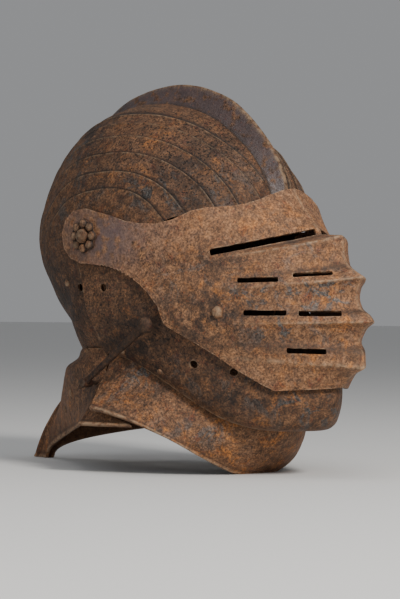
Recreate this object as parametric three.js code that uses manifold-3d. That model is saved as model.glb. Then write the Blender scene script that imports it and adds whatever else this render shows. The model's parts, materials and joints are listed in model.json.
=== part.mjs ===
import * as THREE from 'three';
import { mergeVertices } from 'three/addons/utils/BufferGeometryUtils.js';
import Module from 'manifold-3d';

// A fluted close helmet of thin steel plate, with a bellows visor. Sizes are in millimetres.
// The front faces -Y and +Z is up. The helmet is symmetric about X = 0, and its own right is -X.
// Y is measured from the axis of the visor pivots, and Z from the surface the helmet stands on.

// Driving dimensions
const PIVOT_Z = 178.5;
const WALL = 1.8;
const PLAY = 0.4;
const VISOR_PLAY = 0.9;
const SKULL_HALF_WIDTH = 96.5;
const BEVOR_HALF_WIDTH = SKULL_HALF_WIDTH + PLAY + WALL;
const VISOR_HALF_WIDTH = BEVOR_HALF_WIDTH + VISOR_PLAY + WALL;
const ARM_REACH = 30;
const COMB_HALF_WIDTH = 5;
const FLUTE_HEIGHT = 1.3;
const FLUTE_HALF_WIDTH = 0.13;
const PIVOT_RIVET_RADIUS = 3;
const ROSETTE_RADIUS = 13;

// Skull bowl, as a polar curve round the pivot axis in the median plane.
// angle: degrees up from the front, radius: bowl without comb, comb: comb height, square: squareness
const SKULL_OUTLINE = [
  { angle: -90, radius: 122, comb: 0, square: 2.4 },
  { angle: -40, radius: 119, comb: 0, square: 2.4 },
  { angle: 5, radius: 114, comb: 0, square: 2.1 },
  { angle: 20, radius: 113, comb: 7, square: 2 },
  { angle: 34, radius: 110, comb: 10.5, square: 2 },
  { angle: 50, radius: 107, comb: 13.5, square: 2 },
  { angle: 68, radius: 106, comb: 16.5, square: 2 },
  { angle: 88, radius: 107.5, comb: 15.7, square: 2 },
  { angle: 104, radius: 111, comb: 12.3, square: 2 },
  { angle: 118, radius: 113.5, comb: 11.5, square: 2 },
  { angle: 132, radius: 114.5, comb: 9, square: 2 },
  { angle: 148, radius: 114.5, comb: 2, square: 2 },
  { angle: 172, radius: 113.5, comb: 0, square: 2.1 },
  { angle: 190, radius: 108.5, comb: 0, square: 2.2 },
  { angle: 211, radius: 104.5, comb: 0, square: 2.3 },
  { angle: 228, radius: 110, comb: 0, square: 2.4 },
  { angle: 250, radius: 118, comb: 0, square: 2.4 },
  { angle: 270, radius: 122, comb: 0, square: 2.4 },
];

// Lines that run from the brow over the bowl to the nape: the comb, six flutes and the pivot.
// crown: share of the half width at the crown, brow: share at the brow
const FLUTE_LINES = [
  { crown: 0, brow: 0 },
  { crown: 0.48, brow: 0.14 },
  { crown: 0.59, brow: 0.265 },
  { crown: 0.71, brow: 0.455 },
  { crown: 0.82, brow: 0.606 },
  { crown: 0.9, brow: 0.765 },
  { crown: 0.952, brow: 0.86 },
  { crown: 1, brow: 1 },
];
const CROWN_ANGLE = 105;
const BROW_ANGLE = 18;

// Visor rows from the lower lip to the brow. y, z: median line, smooth: y of the same row without
// its ridge or hollow, side: z at the pivot, half: half width, round: 2 is oval and 1.2 is keeled
const VISOR_ROWS = [
  { y: 167.8, smooth: 167.8, z: 67.3, side: 66, fan: 1, half: 91, round: 1.45 },
  { y: 176.4, smooth: 173, z: 76, side: 80, fan: 1, half: 93.5, round: 1.35 },
  { y: 188.4, smooth: 176, z: 81.5, side: 92, fan: 1, half: 95.5, round: 1.25 },
  { y: 187.3, smooth: 179, z: 92.8, side: 100, fan: 1, half: 97.5, round: 1.25 },
  { y: 182.9, smooth: 181, z: 100, side: 105, fan: 1, half: 98.6, round: 1.25 },
  { y: 188.2, smooth: 182, z: 111, side: 109.5, fan: 1, half: 99.5, round: 1.25 },
  { y: 195.8, smooth: 182, z: 115.9, side: 112, fan: 1, half: 99.9, round: 1.25 },
  { y: 191.8, smooth: 181.5, z: 121.2, side: 116, fan: 1, half: 100.2, round: 1.25 },
  { y: 184, smooth: 180.5, z: 126.5, side: 120, fan: 1, half: 100.4, round: 1.25 },
  { y: 181, smooth: 179, z: 135.5, side: 126, fan: 1, half: 100.7, round: 1.25 },
  { y: 182.6, smooth: 177, z: 143.1, side: 130, fan: 1, half: VISOR_HALF_WIDTH, round: 1.25 },
  { y: 187.8, smooth: 175, z: 148.7, side: 134, fan: 1, half: VISOR_HALF_WIDTH, round: 1.25 },
  { y: 174.3, smooth: 171, z: 156.1, side: 140, fan: 1, half: VISOR_HALF_WIDTH, round: 1.3 },
  { y: 169.8, smooth: 169, z: 161.5, side: 143, fan: 1, half: VISOR_HALF_WIDTH, round: 1.3 },
  { y: 167.8, smooth: 162, z: 172.4, side: 149, fan: 1, half: VISOR_HALF_WIDTH, round: 1.3 },
  { y: 167, smooth: 157, z: 179.7, side: 153, fan: 1, half: VISOR_HALF_WIDTH, round: 1.35 },
  { y: 146, smooth: 155, z: 180.3, side: 156.5, fan: 1, half: VISOR_HALF_WIDTH, round: 1.45 },
  { y: 143.8, smooth: 151, z: 185, side: 161, fan: 1, half: VISOR_HALF_WIDTH, round: 1.5 },
  { y: 136, smooth: 140, z: 193.5, side: 172, fan: 1, half: VISOR_HALF_WIDTH, round: 1.6 },
  { y: 127.5, smooth: 129, z: 204, side: 188, fan: 1, half: VISOR_HALF_WIDTH, round: 1.7 },
  { y: 120.5, smooth: 120.5, z: 215, side: 206, fan: 1, half: VISOR_HALF_WIDTH, round: 1.75 },
  { y: 112, smooth: 112, z: 230, side: 226, fan: 1, half: VISOR_HALF_WIDTH, round: 1.8 },
];

// Bevor rows from its lower seam to its arms, with the same columns as the visor.
const BEVOR_ROWS = [
  { y: 128, smooth: 128, z: 33.4, side: 90, fan: 4, half: 80, round: 1.9 },
  { y: 145, smooth: 145, z: 34.6, side: 91, fan: 4, half: 81, round: 1.7 },
  { y: 154.5, smooth: 154.5, z: 39.2, side: 94, fan: 3.8, half: 83, round: 1.6 },
  { y: 160, smooth: 160, z: 47.5, side: 98, fan: 3.4, half: 85.5, round: 1.5 },
  { y: 163, smooth: 163, z: 57, side: 103, fan: 3, half: 88, round: 1.42 },
  { y: 162.6, smooth: 162.6, z: 66, side: 109, fan: 2.6, half: 90.5, round: 1.42 },
  { y: 159, smooth: 159, z: 80, side: 117, fan: 2.2, half: 94, round: 1.5 },
  { y: 150, smooth: 150, z: 95, side: 126, fan: 1.9, half: 96.5, round: 1.55 },
  { y: 138, smooth: 138, z: 120, side: 142, fan: 1.6, half: 98.2, round: 1.7 },
  { y: 124, smooth: 124, z: 150, side: 160, fan: 1.5, half: BEVOR_HALF_WIDTH, round: 1.9 },
  { y: 110, smooth: 110, z: 178, side: 178, fan: 1.5, half: BEVOR_HALF_WIDTH, round: 2 },
  { y: 100, smooth: 100, z: 206, side: 206, fan: 1.5, half: BEVOR_HALF_WIDTH, round: 2 },
];

// Outlines in the side view, as pairs of y and z. Each keeps what lies inside it.
const SKULL_SIDE = [
  [-140, 196], [-70, 193], [-44, 180], [-34, 160], [-30, 130], [-30, 108],
  [-3, 106], [5, 90], [20, 88], [140, 86], [140, 330], [-140, 330],
];
const VISOR_SIDE = [
  [-210, 60], [-140, 60], [-128, 71], [-118, 79], [-103, 90.5], [-89.5, 100], [-75.5, 108.5],
  [-70, 112.5], [-66.5, 121], [-65, 126], [-59, 133.5], [-51.5, 141.5], [-45, 146], [-33.5, 152],
  [-20, 155.8], [-9, 157], [4, 158], [15, 162], [22, 169], [25, 180], [21, 191], [12, 198],
  [0, 199.5], [-10, 197], [-24, 193.5], [-37, 189.2], [-49, 187.4], [-61, 187], [-72, 190.4],
  [-83, 197], [-92.5, 199.5], [-103, 200.6], [-110, 202.5], [-115.4, 207], [-118.5, 212],
  [-121, 217.5], [-210, 217.5],
];
const BEVOR_SIDE = [
  [-180, 30], [-180, 90], [-130, 93], [-90, 106], [-60, 130], [-40, 155], [-27, 166], [-20, 180],
  [-12, 186], [0, 188], [8, 185], [13, 178], [11, 160], [5, 145], [3, 120], [-2, 104], [-2, 30],
];
const FRONT_SIDE = [[-200, -5], [-200, 110], [-5, 110], [-7, 66], [-14, 48], [-17, -5]];
const NAPE_SIDE = [[-40, -5], [-38, 36], [-20, 46], [-9, 71], [1, 78], [1, 110], [200, 110], [200, -5]];

// Gorget plate edges from the top down to the rim. facing: -1 front or 1 back, round and full: how
// square the plan is, fan: how the edge climbs to the side, flat: share of it that stays level.
// rows: places down the plate, with 0 at its top edge. drawn: how far the last strip is drawn in
const FRONT_GORGET = {
  edges: [
    { facing: -1, half: 80, y: 118, round: 1.9, full: 2, z: 41, side: 101, fan: 4, flat: 0 },
    { facing: -1, half: 76.6, y: 120, round: 1.9, full: 2, z: 37, side: 91, fan: 4, flat: 0 },
    { facing: -1, half: 109, y: 87, round: 2.8, full: 2, z: -1, side: 50, fan: 1.5, flat: 0.14 },
  ],
  rows: [0, 1, 1.25, 1.5, 1.75, 2],
  columns: [0, 0.08, 0.2, 0.35, 0.5, 0.66, 0.83, 1, 1.2],
  drawn: { median: -6, side: 5 },
};
const NAPE_GORGET = {
  edges: [
    { facing: 1, half: 81, y: 79, round: 2.2, full: 2, z: 97, side: 94, fan: 2, flat: 0 },
    { facing: 1, half: 81.4, y: 80, round: 2.15, full: 2, z: 86, side: 86, fan: 2, flat: 0 },
    { facing: 1, half: 82.4, y: 91.5, round: 1.95, full: 2, z: 79.4, side: 78, fan: 2, flat: 0 },
    { facing: 1, half: 106, y: 159.6, round: 0.64, full: 1.03, z: -1, side: 37, fan: 0.35, flat: 0.04 },
  ],
  rows: [0, 0.7, 1.2, 1.6, 2, 2.2, 2.45, 2.7, 3],
  columns: [0, 0.028, 0.075, 0.15, 0.27, 0.43, 0.6, 0.8, 1, 1.2],
  drawn: { median: -11, side: 4 },
};

// Slots through the right half of the visor, mirrored on the left. rear and front: x, y, z of the ends
const SLOTS = [
  { name: 'sight', rear: [-70.5, -99.2, 165.8], front: [-2.8, -144, 182.6], height: 5.8, depth: 60 },
  { name: 'second rear', rear: [-62, -118.3, 145.4], front: [-45.4, -143.5, 146.4], height: 3.8, depth: 24 },
  { name: 'second front', rear: [-37.5, -151, 149.4], front: [-17.6, -172.4, 151.4], height: 3, depth: 24 },
  { name: 'third rear', rear: [-61.2, -123.8, 121.6], front: [-43.1, -149.8, 121.8], height: 4, depth: 24 },
  { name: 'third front', rear: [-37.8, -156.8, 121.5], front: [-16, -179.8, 121.8], height: 4, depth: 24 },
  { name: 'fourth', rear: [-41.5, -148.9, 94.4], front: [-22.3, -170.7, 93.8], height: 4, depth: 24 },
];

// Rivets and open lacing holes on both sides. y and z: where the line that they are set on meets the
// median plane, turn: degrees of that line towards the back, or towards the front if negative
const RIVETS = [
  { name: 'visor_stud', through: ['visor'], y: -107, z: 122, turn: 0, head: 4.6, rise: 3.4, shank: 2, sides: [-1] },
  { name: 'skull_rivet', through: ['skull'], y: 31.8, z: 143.5, turn: 0, head: 3, rise: 1.6, shank: 1.5 },
  { name: 'collar_rivet_rear', through: ['bevor', 'gorget_front'], y: -22, z: 92, turn: 0, head: 2.6, rise: 1.3,
    shank: 1.4 },
  { name: 'collar_rivet_front', through: ['bevor', 'gorget_front'], y: -55, z: 77.3, turn: 0, head: 2.6, rise: 1.3,
    shank: 1.4 },
  { name: 'neck_rivet_side', through: ['gorget_nape', 'skull'], y: 24, z: 91.5, turn: 0, head: 2.6, rise: 1.3,
    shank: 1.4 },
  { name: 'neck_rivet_rear', through: ['gorget_nape', 'skull'], y: 0, z: 92, turn: 50, head: 2.6, rise: 1.3,
    shank: 1.4 },
  { name: 'nape_rivet_upper', through: ['gorget_nape'], y: 0, z: 58.2, turn: 36, head: 3, rise: 1.5, shank: 1.4 },
  { name: 'nape_rivet_lower', through: ['gorget_nape'], y: 0, z: 44, turn: 56, head: 3, rise: 1.5, shank: 1.4 },
];
const HOLES = [
  { name: 'skull side', through: ['skull'], y: 12.3, z: 139.8, turn: 0, bore: 2.7 },
  { name: 'cheek', through: ['bevor'], y: -16, z: 139.6, turn: 0, bore: 2.7 },
  { name: 'jaw rear', through: ['bevor'], y: -84.6, z: 83.2, turn: 0, bore: 2.8 },
  { name: 'jaw front', through: ['bevor'], y: -112, z: 78, turn: 0, bore: 2.8 },
];
const SEAT_GAP = 0.3;
const SEAT_REACH = 16;
const ROSETTE_THICKNESS = 2;

// Latch arm on the right side only. outside: x of its outer face, hub: length of the hub behind it
const LATCH = {
  outside: -100.5, thickness: 3.4, eyeY: 1.5, eyeZ: 67.7, eyeRadius: 3.6, bore: 1.9,
  knobY: -61, knobZ: 112, knobRadius: 6.2, neck: 3.2, flatness: 0.75,
};
const LATCH_RIVET = { head: 3, rise: 1.4, shank: 1.5 };

const wasm = await Module();
wasm.setup();

// A smooth curve through table rows: cubic pieces whose slopes never overshoot the rows.
function smoothAlong(rows, place, value, at) {
  const last = rows.length - 1;
  let i = 0;
  while (i < last - 1 && at > rows[i + 1][place]) i += 1;
  const rise = (j) => (rows[j + 1][value] - rows[j][value]) / (rows[j + 1][place] - rows[j][place]);
  const slope = (j) => {
    if (j === 0) return rise(0);
    if (j === last) return rise(last - 1);
    const before = rise(j - 1);
    const after = rise(j);
    return before * after > 0 ? (2 * before * after) / (before + after) : 0;
  };
  const width = rows[i + 1][place] - rows[i][place];
  const t = (at - rows[i][place]) / width;
  const a = rows[i][value];
  const b = rows[i + 1][value];
  return (1 + 2 * t) * (1 - t) ** 2 * a + t * (1 - t) ** 2 * width * slope(i)
    + t * t * (3 - 2 * t) * b + t * t * (t - 1) * width * slope(i + 1);
}

// A point on the curve across^round + along^full = 1, at an angle given as a share of a quarter turn.
function ovalPoint(share, round, full = 2) {
  const turn = share * Math.PI / 2;
  const across = Math.sin(turn);
  const along = Math.cos(turn);
  let reach = 1;
  for (let step = 0; step < 12; step += 1) {
    const value = (reach * across) ** round + (reach * along) ** full - 1;
    const slope = (round * (reach * across) ** round + full * (reach * along) ** full) / reach;
    reach = Math.max(reach - value / slope, 0.05);
  }
  return [reach * across, reach * along];
}

// Visor and bevor: rows run round the face, and past the pivot they run straight back as arms.
function faceSurface(rows, reliefEnd) {
  const numbered = rows.map((row, index) => ({ ...row, index }));
  const read = (value, at) => smoothAlong(numbered, 'index', value, at);
  return (column, row) => {
    const side = Math.sign(column);
    const share = Math.min(Math.abs(column), 1);
    const back = Math.max(Math.abs(column) - 1, 0) * ARM_REACH * 4;
    const [across, along] = ovalPoint(share, read('round', row));
    const relief = Math.max(0, 1 - (across / reliefEnd) ** 2) ** 1.5;
    const smooth = read('smooth', row);
    const front = smooth + (read('y', row) - smooth) * relief;
    const high = read('z', row);
    const z = high + (read('side', row) - high) * across ** read('fan', row);
    return new THREE.Vector3(side * across * read('half', row), -front * along + back, z);
  };
}

// Closed mesh from a grid of points and a second grid one wall thickness inside it.
function sheetMesh(pointAt, columns, rows, wall) {
  const step = 1e-3;
  const positions = [];
  const index = [];
  const count = columns.length;
  const add = (p) => positions.push(p.x, p.y, p.z) / 3 - 1;
  const outer = [];
  const inner = [];
  for (const v of rows) {
    for (const u of columns) {
      const p = pointAt(u, v);
      const du = pointAt(u + step, v).sub(pointAt(u - step, v));
      const dv = pointAt(u, v + step).sub(pointAt(u, v - step));
      const normal = du.cross(dv).normalize();
      outer.push(add(p));
      inner.push(add(p.clone().addScaledVector(normal, -wall)));
    }
  }
  const quad = (a, b, c, d) => index.push(a, b, c, a, c, d);
  for (let r = 0; r + 1 < rows.length; r += 1) {
    for (let c = 0; c + 1 < count; c += 1) {
      const i = r * count + c;
      quad(outer[i], outer[i + 1], outer[i + count + 1], outer[i + count]);
      quad(inner[i], inner[i + count], inner[i + count + 1], inner[i + 1]);
    }
  }
  for (let c = 0; c + 1 < count; c += 1) {
    const top = (rows.length - 1) * count + c;
    quad(outer[c], inner[c], inner[c + 1], outer[c + 1]);
    quad(outer[top], outer[top + 1], inner[top + 1], inner[top]);
  }
  for (let r = 0; r + 1 < rows.length; r += 1) {
    const left = r * count;
    const right = left + count - 1;
    quad(outer[left], outer[left + count], inner[left + count], inner[left]);
    quad(outer[right], inner[right], inner[right + count], outer[right + count]);
  }
  return { positions, index };
}

// Solid for joining and cutting. A mesh whose faces point in is turned round first.
function solidFrom(positions, index) {
  let volume = 0;
  const corner = (i) => new THREE.Vector3(positions[3 * i], positions[3 * i + 1], positions[3 * i + 2]);
  for (let i = 0; i < index.length; i += 3) {
    volume += corner(index[i]).dot(corner(index[i + 1]).cross(corner(index[i + 2])));
  }
  const turned = [];
  for (let i = 0; i < index.length; i += 3) {
    if (volume > 0) turned.push(index[i], index[i + 1], index[i + 2]);
    else turned.push(index[i], index[i + 2], index[i + 1]);
  }
  return new wasm.Manifold(new wasm.Mesh({
    numProp: 3,
    vertProperties: new Float32Array(positions),
    triVerts: new Uint32Array(turned),
  }));
}

function solidOf(geometry) {
  const bare = geometry.clone();
  bare.deleteAttribute('normal');
  bare.deleteAttribute('uv');
  const merged = mergeVertices(bare, 1e-4);
  return solidFrom(Array.from(merged.attributes.position.array), Array.from(merged.index.array));
}

function geometryOf(solid) {
  const mesh = solid.getMesh();
  const geometry = new THREE.BufferGeometry();
  geometry.setAttribute('position', new THREE.BufferAttribute(new Float32Array(mesh.vertProperties), 3));
  geometry.setIndex(new THREE.BufferAttribute(new Uint32Array(mesh.triVerts), 1));
  return geometry;
}

// Prism through the whole width of the helmet, from an outline in the side view.
function sidePrism(outline) {
  const shape = new THREE.Shape(outline.map(([y, z]) => new THREE.Vector2(y, z)));
  const geometry = new THREE.ExtrudeGeometry(shape, { depth: 300, bevelEnabled: false });
  geometry.translate(0, 0, -150);
  const axes = new THREE.Matrix4().makeBasis(
    new THREE.Vector3(0, 1, 0), new THREE.Vector3(0, 0, 1), new THREE.Vector3(1, 0, 0));
  geometry.applyMatrix4(axes);
  return solidOf(geometry);
}

// Cylinder along X through the pivots, or anywhere else in the side view.
function crossBore(radius, y, z, length = 300) {
  const geometry = new THREE.CylinderGeometry(radius, radius, length, 16);
  geometry.rotateZ(Math.PI / 2);
  geometry.translate(0, y, z);
  return solidOf(geometry);
}

function evenly(from, to, count) {
  return Array.from({ length: count + 1 }, (_, i) => from + (to - from) * i / count);
}

function mirrored(shares) {
  return [...shares.slice(1).reverse().map((s) => -s), ...shares];
}

// Skull. Flute lines swing out towards the temples at the crown and close up to brow and nape.
function fluteShare(line, angle) {
  const swing = (turned) => 1 - Math.cos(THREE.MathUtils.degToRad(turned));
  const turned = Math.min(Math.abs(angle - CROWN_ANGLE), 97);
  return line.crown - (line.crown - line.brow) * swing(turned) / swing(CROWN_ANGLE - BROW_ANGLE);
}

// A column counts the flute lines outwards: 0 is the comb, 1 the first flute, 7 the pole.
function skullPoint(angle, column, withRelief, inset) {
  const turn = THREE.MathUtils.degToRad(angle);
  const square = smoothAlong(SKULL_OUTLINE, 'angle', 'square', angle);
  const bowl = smoothAlong(SKULL_OUTLINE, 'angle', 'radius', angle) - inset;
  const comb = smoothAlong(SKULL_OUTLINE, 'angle', 'comb', angle);
  const half = SKULL_HALF_WIDTH - inset;
  const place = Math.abs(column);
  const lower = Math.min(Math.floor(place), FLUTE_LINES.length - 2);
  const from = fluteShare(FLUTE_LINES[lower], angle);
  const share = from + (fluteShare(FLUTE_LINES[lower + 1], angle) - from) * (place - lower);
  let radius = bowl * Math.max(0, 1 - share ** square) ** (1 / square);
  const combHalf = withRelief ? COMB_HALF_WIDTH : COMB_HALF_WIDTH - WALL - 0.6;
  radius += comb * Math.exp(-((share * half / combHalf) ** 1.6));
  const nearest = Math.round(place);
  if (withRelief && nearest >= 1 && nearest <= 6) {
    const fade = Math.min(1, Math.max(0, (angle + 5) / 20)) * Math.min(1, Math.max(0, (215 - angle) / 30));
    radius += FLUTE_HEIGHT * fade * Math.max(0, 1 - Math.abs(place - nearest) / FLUTE_HALF_WIDTH);
  }
  const side = Math.sign(column);
  return new THREE.Vector3(side * share * half, -radius * Math.cos(turn), PIVOT_Z + radius * Math.sin(turn));
}

// Closed bowl with a pole at each temple.
function bowlSolid(shares, angles, withRelief, inset) {
  const positions = [];
  const index = [];
  const ring = angles.length;
  for (const across of shares) {
    for (const angle of angles) {
      const p = skullPoint(angle, across, withRelief, inset);
      positions.push(p.x, p.y, p.z);
    }
  }
  const half = SKULL_HALF_WIDTH - inset;
  const right = positions.push(-half, 0, PIVOT_Z) / 3 - 1;
  const left = positions.push(half, 0, PIVOT_Z) / 3 - 1;
  const last = (shares.length - 1) * ring;
  for (let j = 0; j < ring; j += 1) {
    const next = (j + 1) % ring;
    for (let i = 0; i + 1 < shares.length; i += 1) {
      const a = i * ring + j;
      const b = i * ring + next;
      index.push(a, b, b + ring, a, b + ring, a + ring);
    }
    index.push(right, next, j);
    index.push(left, last + j, last + next);
  }
  return solidFrom(positions, index);
}

function skullSolid() {
  const angles = evenly(-90, 270, 28).slice(0, -1);
  const w = FLUTE_HALF_WIDTH;
  const fluted = [1, 2, 3, 4, 5, 6].flatMap((f) => [f - w, f, f + w]);
  const outerColumns = mirrored([0, 0.12, 0.27, 0.55, ...fluted, 6.6]);
  const innerColumns = mirrored([0, 0.12, 0.4, 1.2, 2.3, 3.5, 4.7, 6, 6.75]);
  const outer = bowlSolid(outerColumns, angles, true, 0);
  const inner = bowlSolid(innerColumns, angles, false, WALL);
  return outer.subtract(inner).intersect(sidePrism(SKULL_SIDE));
}

// Gorget plates: straight strips between their edges, the last one drawn in towards the neck.
function gorgetSurface({ edges, drawn }) {
  const last = edges.length - 1;
  const edge = (line, column) => {
    const share = Math.min(Math.abs(column), 1);
    const ahead = Math.max(Math.abs(column) - 1, 0) * ARM_REACH * 4;
    const [across, along] = ovalPoint(share, line.round, line.full);
    const lift = Math.max(0, (across - line.flat) / (1 - line.flat)) ** line.fan;
    return new THREE.Vector3(Math.sign(column) * across * line.half,
      line.facing * (line.y * along - ahead), line.z + (line.side - line.z) * lift);
  };
  return (column, row) => {
    const strip = Math.min(Math.max(Math.floor(row), 0), last - 1);
    const p = edge(edges[strip], column).lerp(edge(edges[strip + 1], column), row - strip);
    const share = Math.min(Math.abs(column), 1);
    const down = Math.min(Math.max(row - last + 1, 0), 1);
    const pull = (drawn.median * (1 - share) + drawn.side * share) * 4 * down * (1 - down);
    const level = Math.hypot(p.x, p.y);
    p.x -= p.x / level * pull;
    p.y -= p.y / level * pull;
    return p;
  };
}

function gorgetSolid(shape, outline) {
  const sheet = sheetMesh(gorgetSurface(shape), mirrored(shape.columns), shape.rows, WALL);
  const above = new THREE.BoxGeometry(400, 500, 200);
  above.translate(0, 0, 100);
  return solidFrom(sheet.positions, sheet.index).intersect(solidOf(above)).intersect(sidePrism(outline));
}

function visorSolid() {
  const columns = mirrored([0, 0.08, 0.19, 0.33, 0.49, 0.66, 0.83, 1, 1.25]);
  const rows = evenly(0, VISOR_ROWS.length - 1, VISOR_ROWS.length - 1);
  const sheet = sheetMesh(faceSurface(VISOR_ROWS, 0.8), columns, rows, WALL);
  let visor = solidFrom(sheet.positions, sheet.index).intersect(sidePrism(VISOR_SIDE));
  for (const slot of SLOTS) {
    for (const side of [1, -1]) visor = visor.subtract(slotCutter(slot, side));
  }
  return visor;
}

// Box through the wall between the two ends of a slot, on the right for side 1.
function slotCutter(slot, side) {
  const rear = new THREE.Vector3(side * slot.rear[0], slot.rear[1], slot.rear[2]);
  const front = new THREE.Vector3(side * slot.front[0], slot.front[1], slot.front[2]);
  const along = front.clone().sub(rear);
  const box = new THREE.BoxGeometry(along.length(), slot.depth, slot.height);
  const run = along.clone().normalize();
  const through = new THREE.Vector3(0, 0, 1).cross(run).normalize();
  box.applyMatrix4(new THREE.Matrix4().makeBasis(run, through, run.clone().cross(through)));
  const centre = rear.add(front).multiplyScalar(0.5);
  box.translate(centre.x, centre.y, centre.z);
  return solidOf(box);
}

// Bevor
function bevorSolid() {
  const columns = mirrored([0, 0.12, 0.25, 0.4, 0.55, 0.7, 0.85, 1, 1.25]);
  const rows = evenly(0, BEVOR_ROWS.length - 1, BEVOR_ROWS.length - 1);
  const sheet = sheetMesh(faceSurface(BEVOR_ROWS, 0.8), columns, rows, WALL);
  return solidFrom(sheet.positions, sheet.index).intersect(sidePrism(BEVOR_SIDE));
}

// Seat of a rivet or hole: a line from outside is set square to the plate that it first meets.
function seatOn(plates, { y, z, turn }, side) {
  const meshes = plates.map((solid) => new THREE.Mesh(geometryOf(solid),
    new THREE.MeshBasicMaterial({ side: THREE.DoubleSide })));
  const angle = THREE.MathUtils.degToRad(turn);
  const outward = new THREE.Vector3(side * Math.cos(angle), Math.sin(angle), 0);
  const origin = new THREE.Vector3(0, y, z).addScaledVector(outward, 200);
  const hit = new THREE.Raycaster(origin, outward.clone().negate(), 0, 200).intersectObjects(meshes)[0];
  const normal = hit.face.normal.clone();
  if (normal.dot(outward) < 0) normal.negate();
  const start = hit.point.clone().addScaledVector(normal, SEAT_REACH);
  const crossings = new THREE.Raycaster(start, normal.clone().negate(), 0, 2 * SEAT_REACH).intersectObjects(meshes);
  const slack = plates.length > 1 ? 3.4 : 0.4;
  return { point: hit.point, normal, grip: crossings[crossings.length - 1].distance - SEAT_REACH + slack };
}

// Turned body whose own axis, up from the inside of the wall, is laid along the wall's normal.
function onSeat(profile, seat, sides) {
  const geometry = new THREE.LatheGeometry(profile.map(([r, h]) => new THREE.Vector2(r, h)), sides);
  geometry.applyQuaternion(new THREE.Quaternion().setFromUnitVectors(new THREE.Vector3(0, 1, 0), seat.normal));
  geometry.translate(seat.point.x, seat.point.y, seat.point.z);
  return geometry;
}

// Rivet with a domed head outside and a flat one inside, a small gap clear of both faces.
function rivetProfile(head, rise, shank, grip) {
  const under = -grip - SEAT_GAP;
  const foot = shank + 0.7;
  return [[0, under - 1], [foot, under - 1], [foot, under], [shank, under], [shank, SEAT_GAP],
    [head, SEAT_GAP], [0, SEAT_GAP + rise]];
}

function boreOn(seat, radius) {
  const reach = seat.grip + 6;
  const geometry = new THREE.CylinderGeometry(radius, radius, reach + 6, 10);
  geometry.translate(0, 3 - reach / 2, 0);
  geometry.applyQuaternion(new THREE.Quaternion().setFromUnitVectors(new THREE.Vector3(0, 1, 0), seat.normal));
  geometry.translate(seat.point.x, seat.point.y, seat.point.z);
  return solidOf(geometry);
}

// Rosette washer: a scalloped disc with one bead on each petal, flat against the visor arm.
function rosetteGeometry() {
  const petals = 8;
  const outline = evenly(0, 2 * Math.PI, petals * 3).slice(0, -1).map((turn) => {
    const reach = ROSETTE_RADIUS - 1.6 * Math.sin(turn * petals / 2) ** 2;
    return new THREE.Vector2(reach * Math.cos(turn), reach * Math.sin(turn));
  });
  const shape = new THREE.Shape(outline);
  const eye = new THREE.Path();
  eye.absarc(0, 0, PIVOT_RIVET_RADIUS + PLAY, 0, 2 * Math.PI, true);
  shape.holes.push(eye);
  const disc = new THREE.ExtrudeGeometry(shape, { depth: ROSETTE_THICKNESS, bevelEnabled: false, curveSegments: 8 });
  let rosette = solidOf(disc);
  for (let petal = 0; petal < petals; petal += 1) {
    const turn = 2 * Math.PI * petal / petals;
    const bead = new THREE.SphereGeometry(2.9, 10, 3);
    bead.scale(1, 1, 0.75);
    bead.translate(9.4 * Math.cos(turn), 9.4 * Math.sin(turn), ROSETTE_THICKNESS);
    rosette = rosette.add(solidOf(bead));
  }
  return geometryOf(rosette);
}


// Latch arm: a tapered bar from its hub at the nape to a round knob beside the jaw. It is drawn flat,
// along x from the hub, and then laid in the side view with its outer face at LATCH.outside.
function latchGeometry(hubLength) {
  const length = Math.hypot(LATCH.knobY - LATCH.eyeY, LATCH.knobZ - LATCH.eyeZ);
  const shape = new THREE.Shape();
  shape.absarc(0, 0, LATCH.eyeRadius, Math.PI / 2, 3 * Math.PI / 2, false);
  shape.lineTo(length, -LATCH.neck);
  shape.lineTo(length, LATCH.neck);
  const bar = new THREE.ExtrudeGeometry(shape, { depth: LATCH.thickness, bevelEnabled: false, curveSegments: 8 });
  const knob = new THREE.SphereGeometry(LATCH.knobRadius, 14, 8);
  knob.rotateX(Math.PI / 2);
  knob.scale(1, 1, LATCH.flatness);
  knob.translate(length, 0, LATCH.thickness / 2);
  const hub = new THREE.CylinderGeometry(LATCH.eyeRadius, LATCH.eyeRadius, hubLength + LATCH.thickness, 16);
  hub.rotateX(Math.PI / 2);
  hub.translate(0, 0, (LATCH.thickness + hubLength) / 2);
  const bore = new THREE.CylinderGeometry(LATCH.bore, LATCH.bore, 60, 12);
  bore.rotateX(Math.PI / 2);
  const geometry = geometryOf(solidOf(bar).add(solidOf(knob)).add(solidOf(hub)).subtract(solidOf(bore)));
  geometry.rotateZ(Math.atan2(LATCH.knobZ - LATCH.eyeZ, LATCH.knobY - LATCH.eyeY));
  geometry.applyMatrix4(new THREE.Matrix4().makeBasis(
    new THREE.Vector3(0, 1, 0), new THREE.Vector3(0, 0, 1), new THREE.Vector3(1, 0, 0)));
  geometry.translate(LATCH.outside, LATCH.eyeY, LATCH.eyeZ);
  return geometry;
}

function plate(name, geometry, colour, roughness, metalness) {
  const material = new THREE.MeshStandardMaterial({ color: colour, roughness, metalness });
  const mesh = new THREE.Mesh(geometry, material);
  mesh.name = name;
  return mesh;
}

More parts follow.
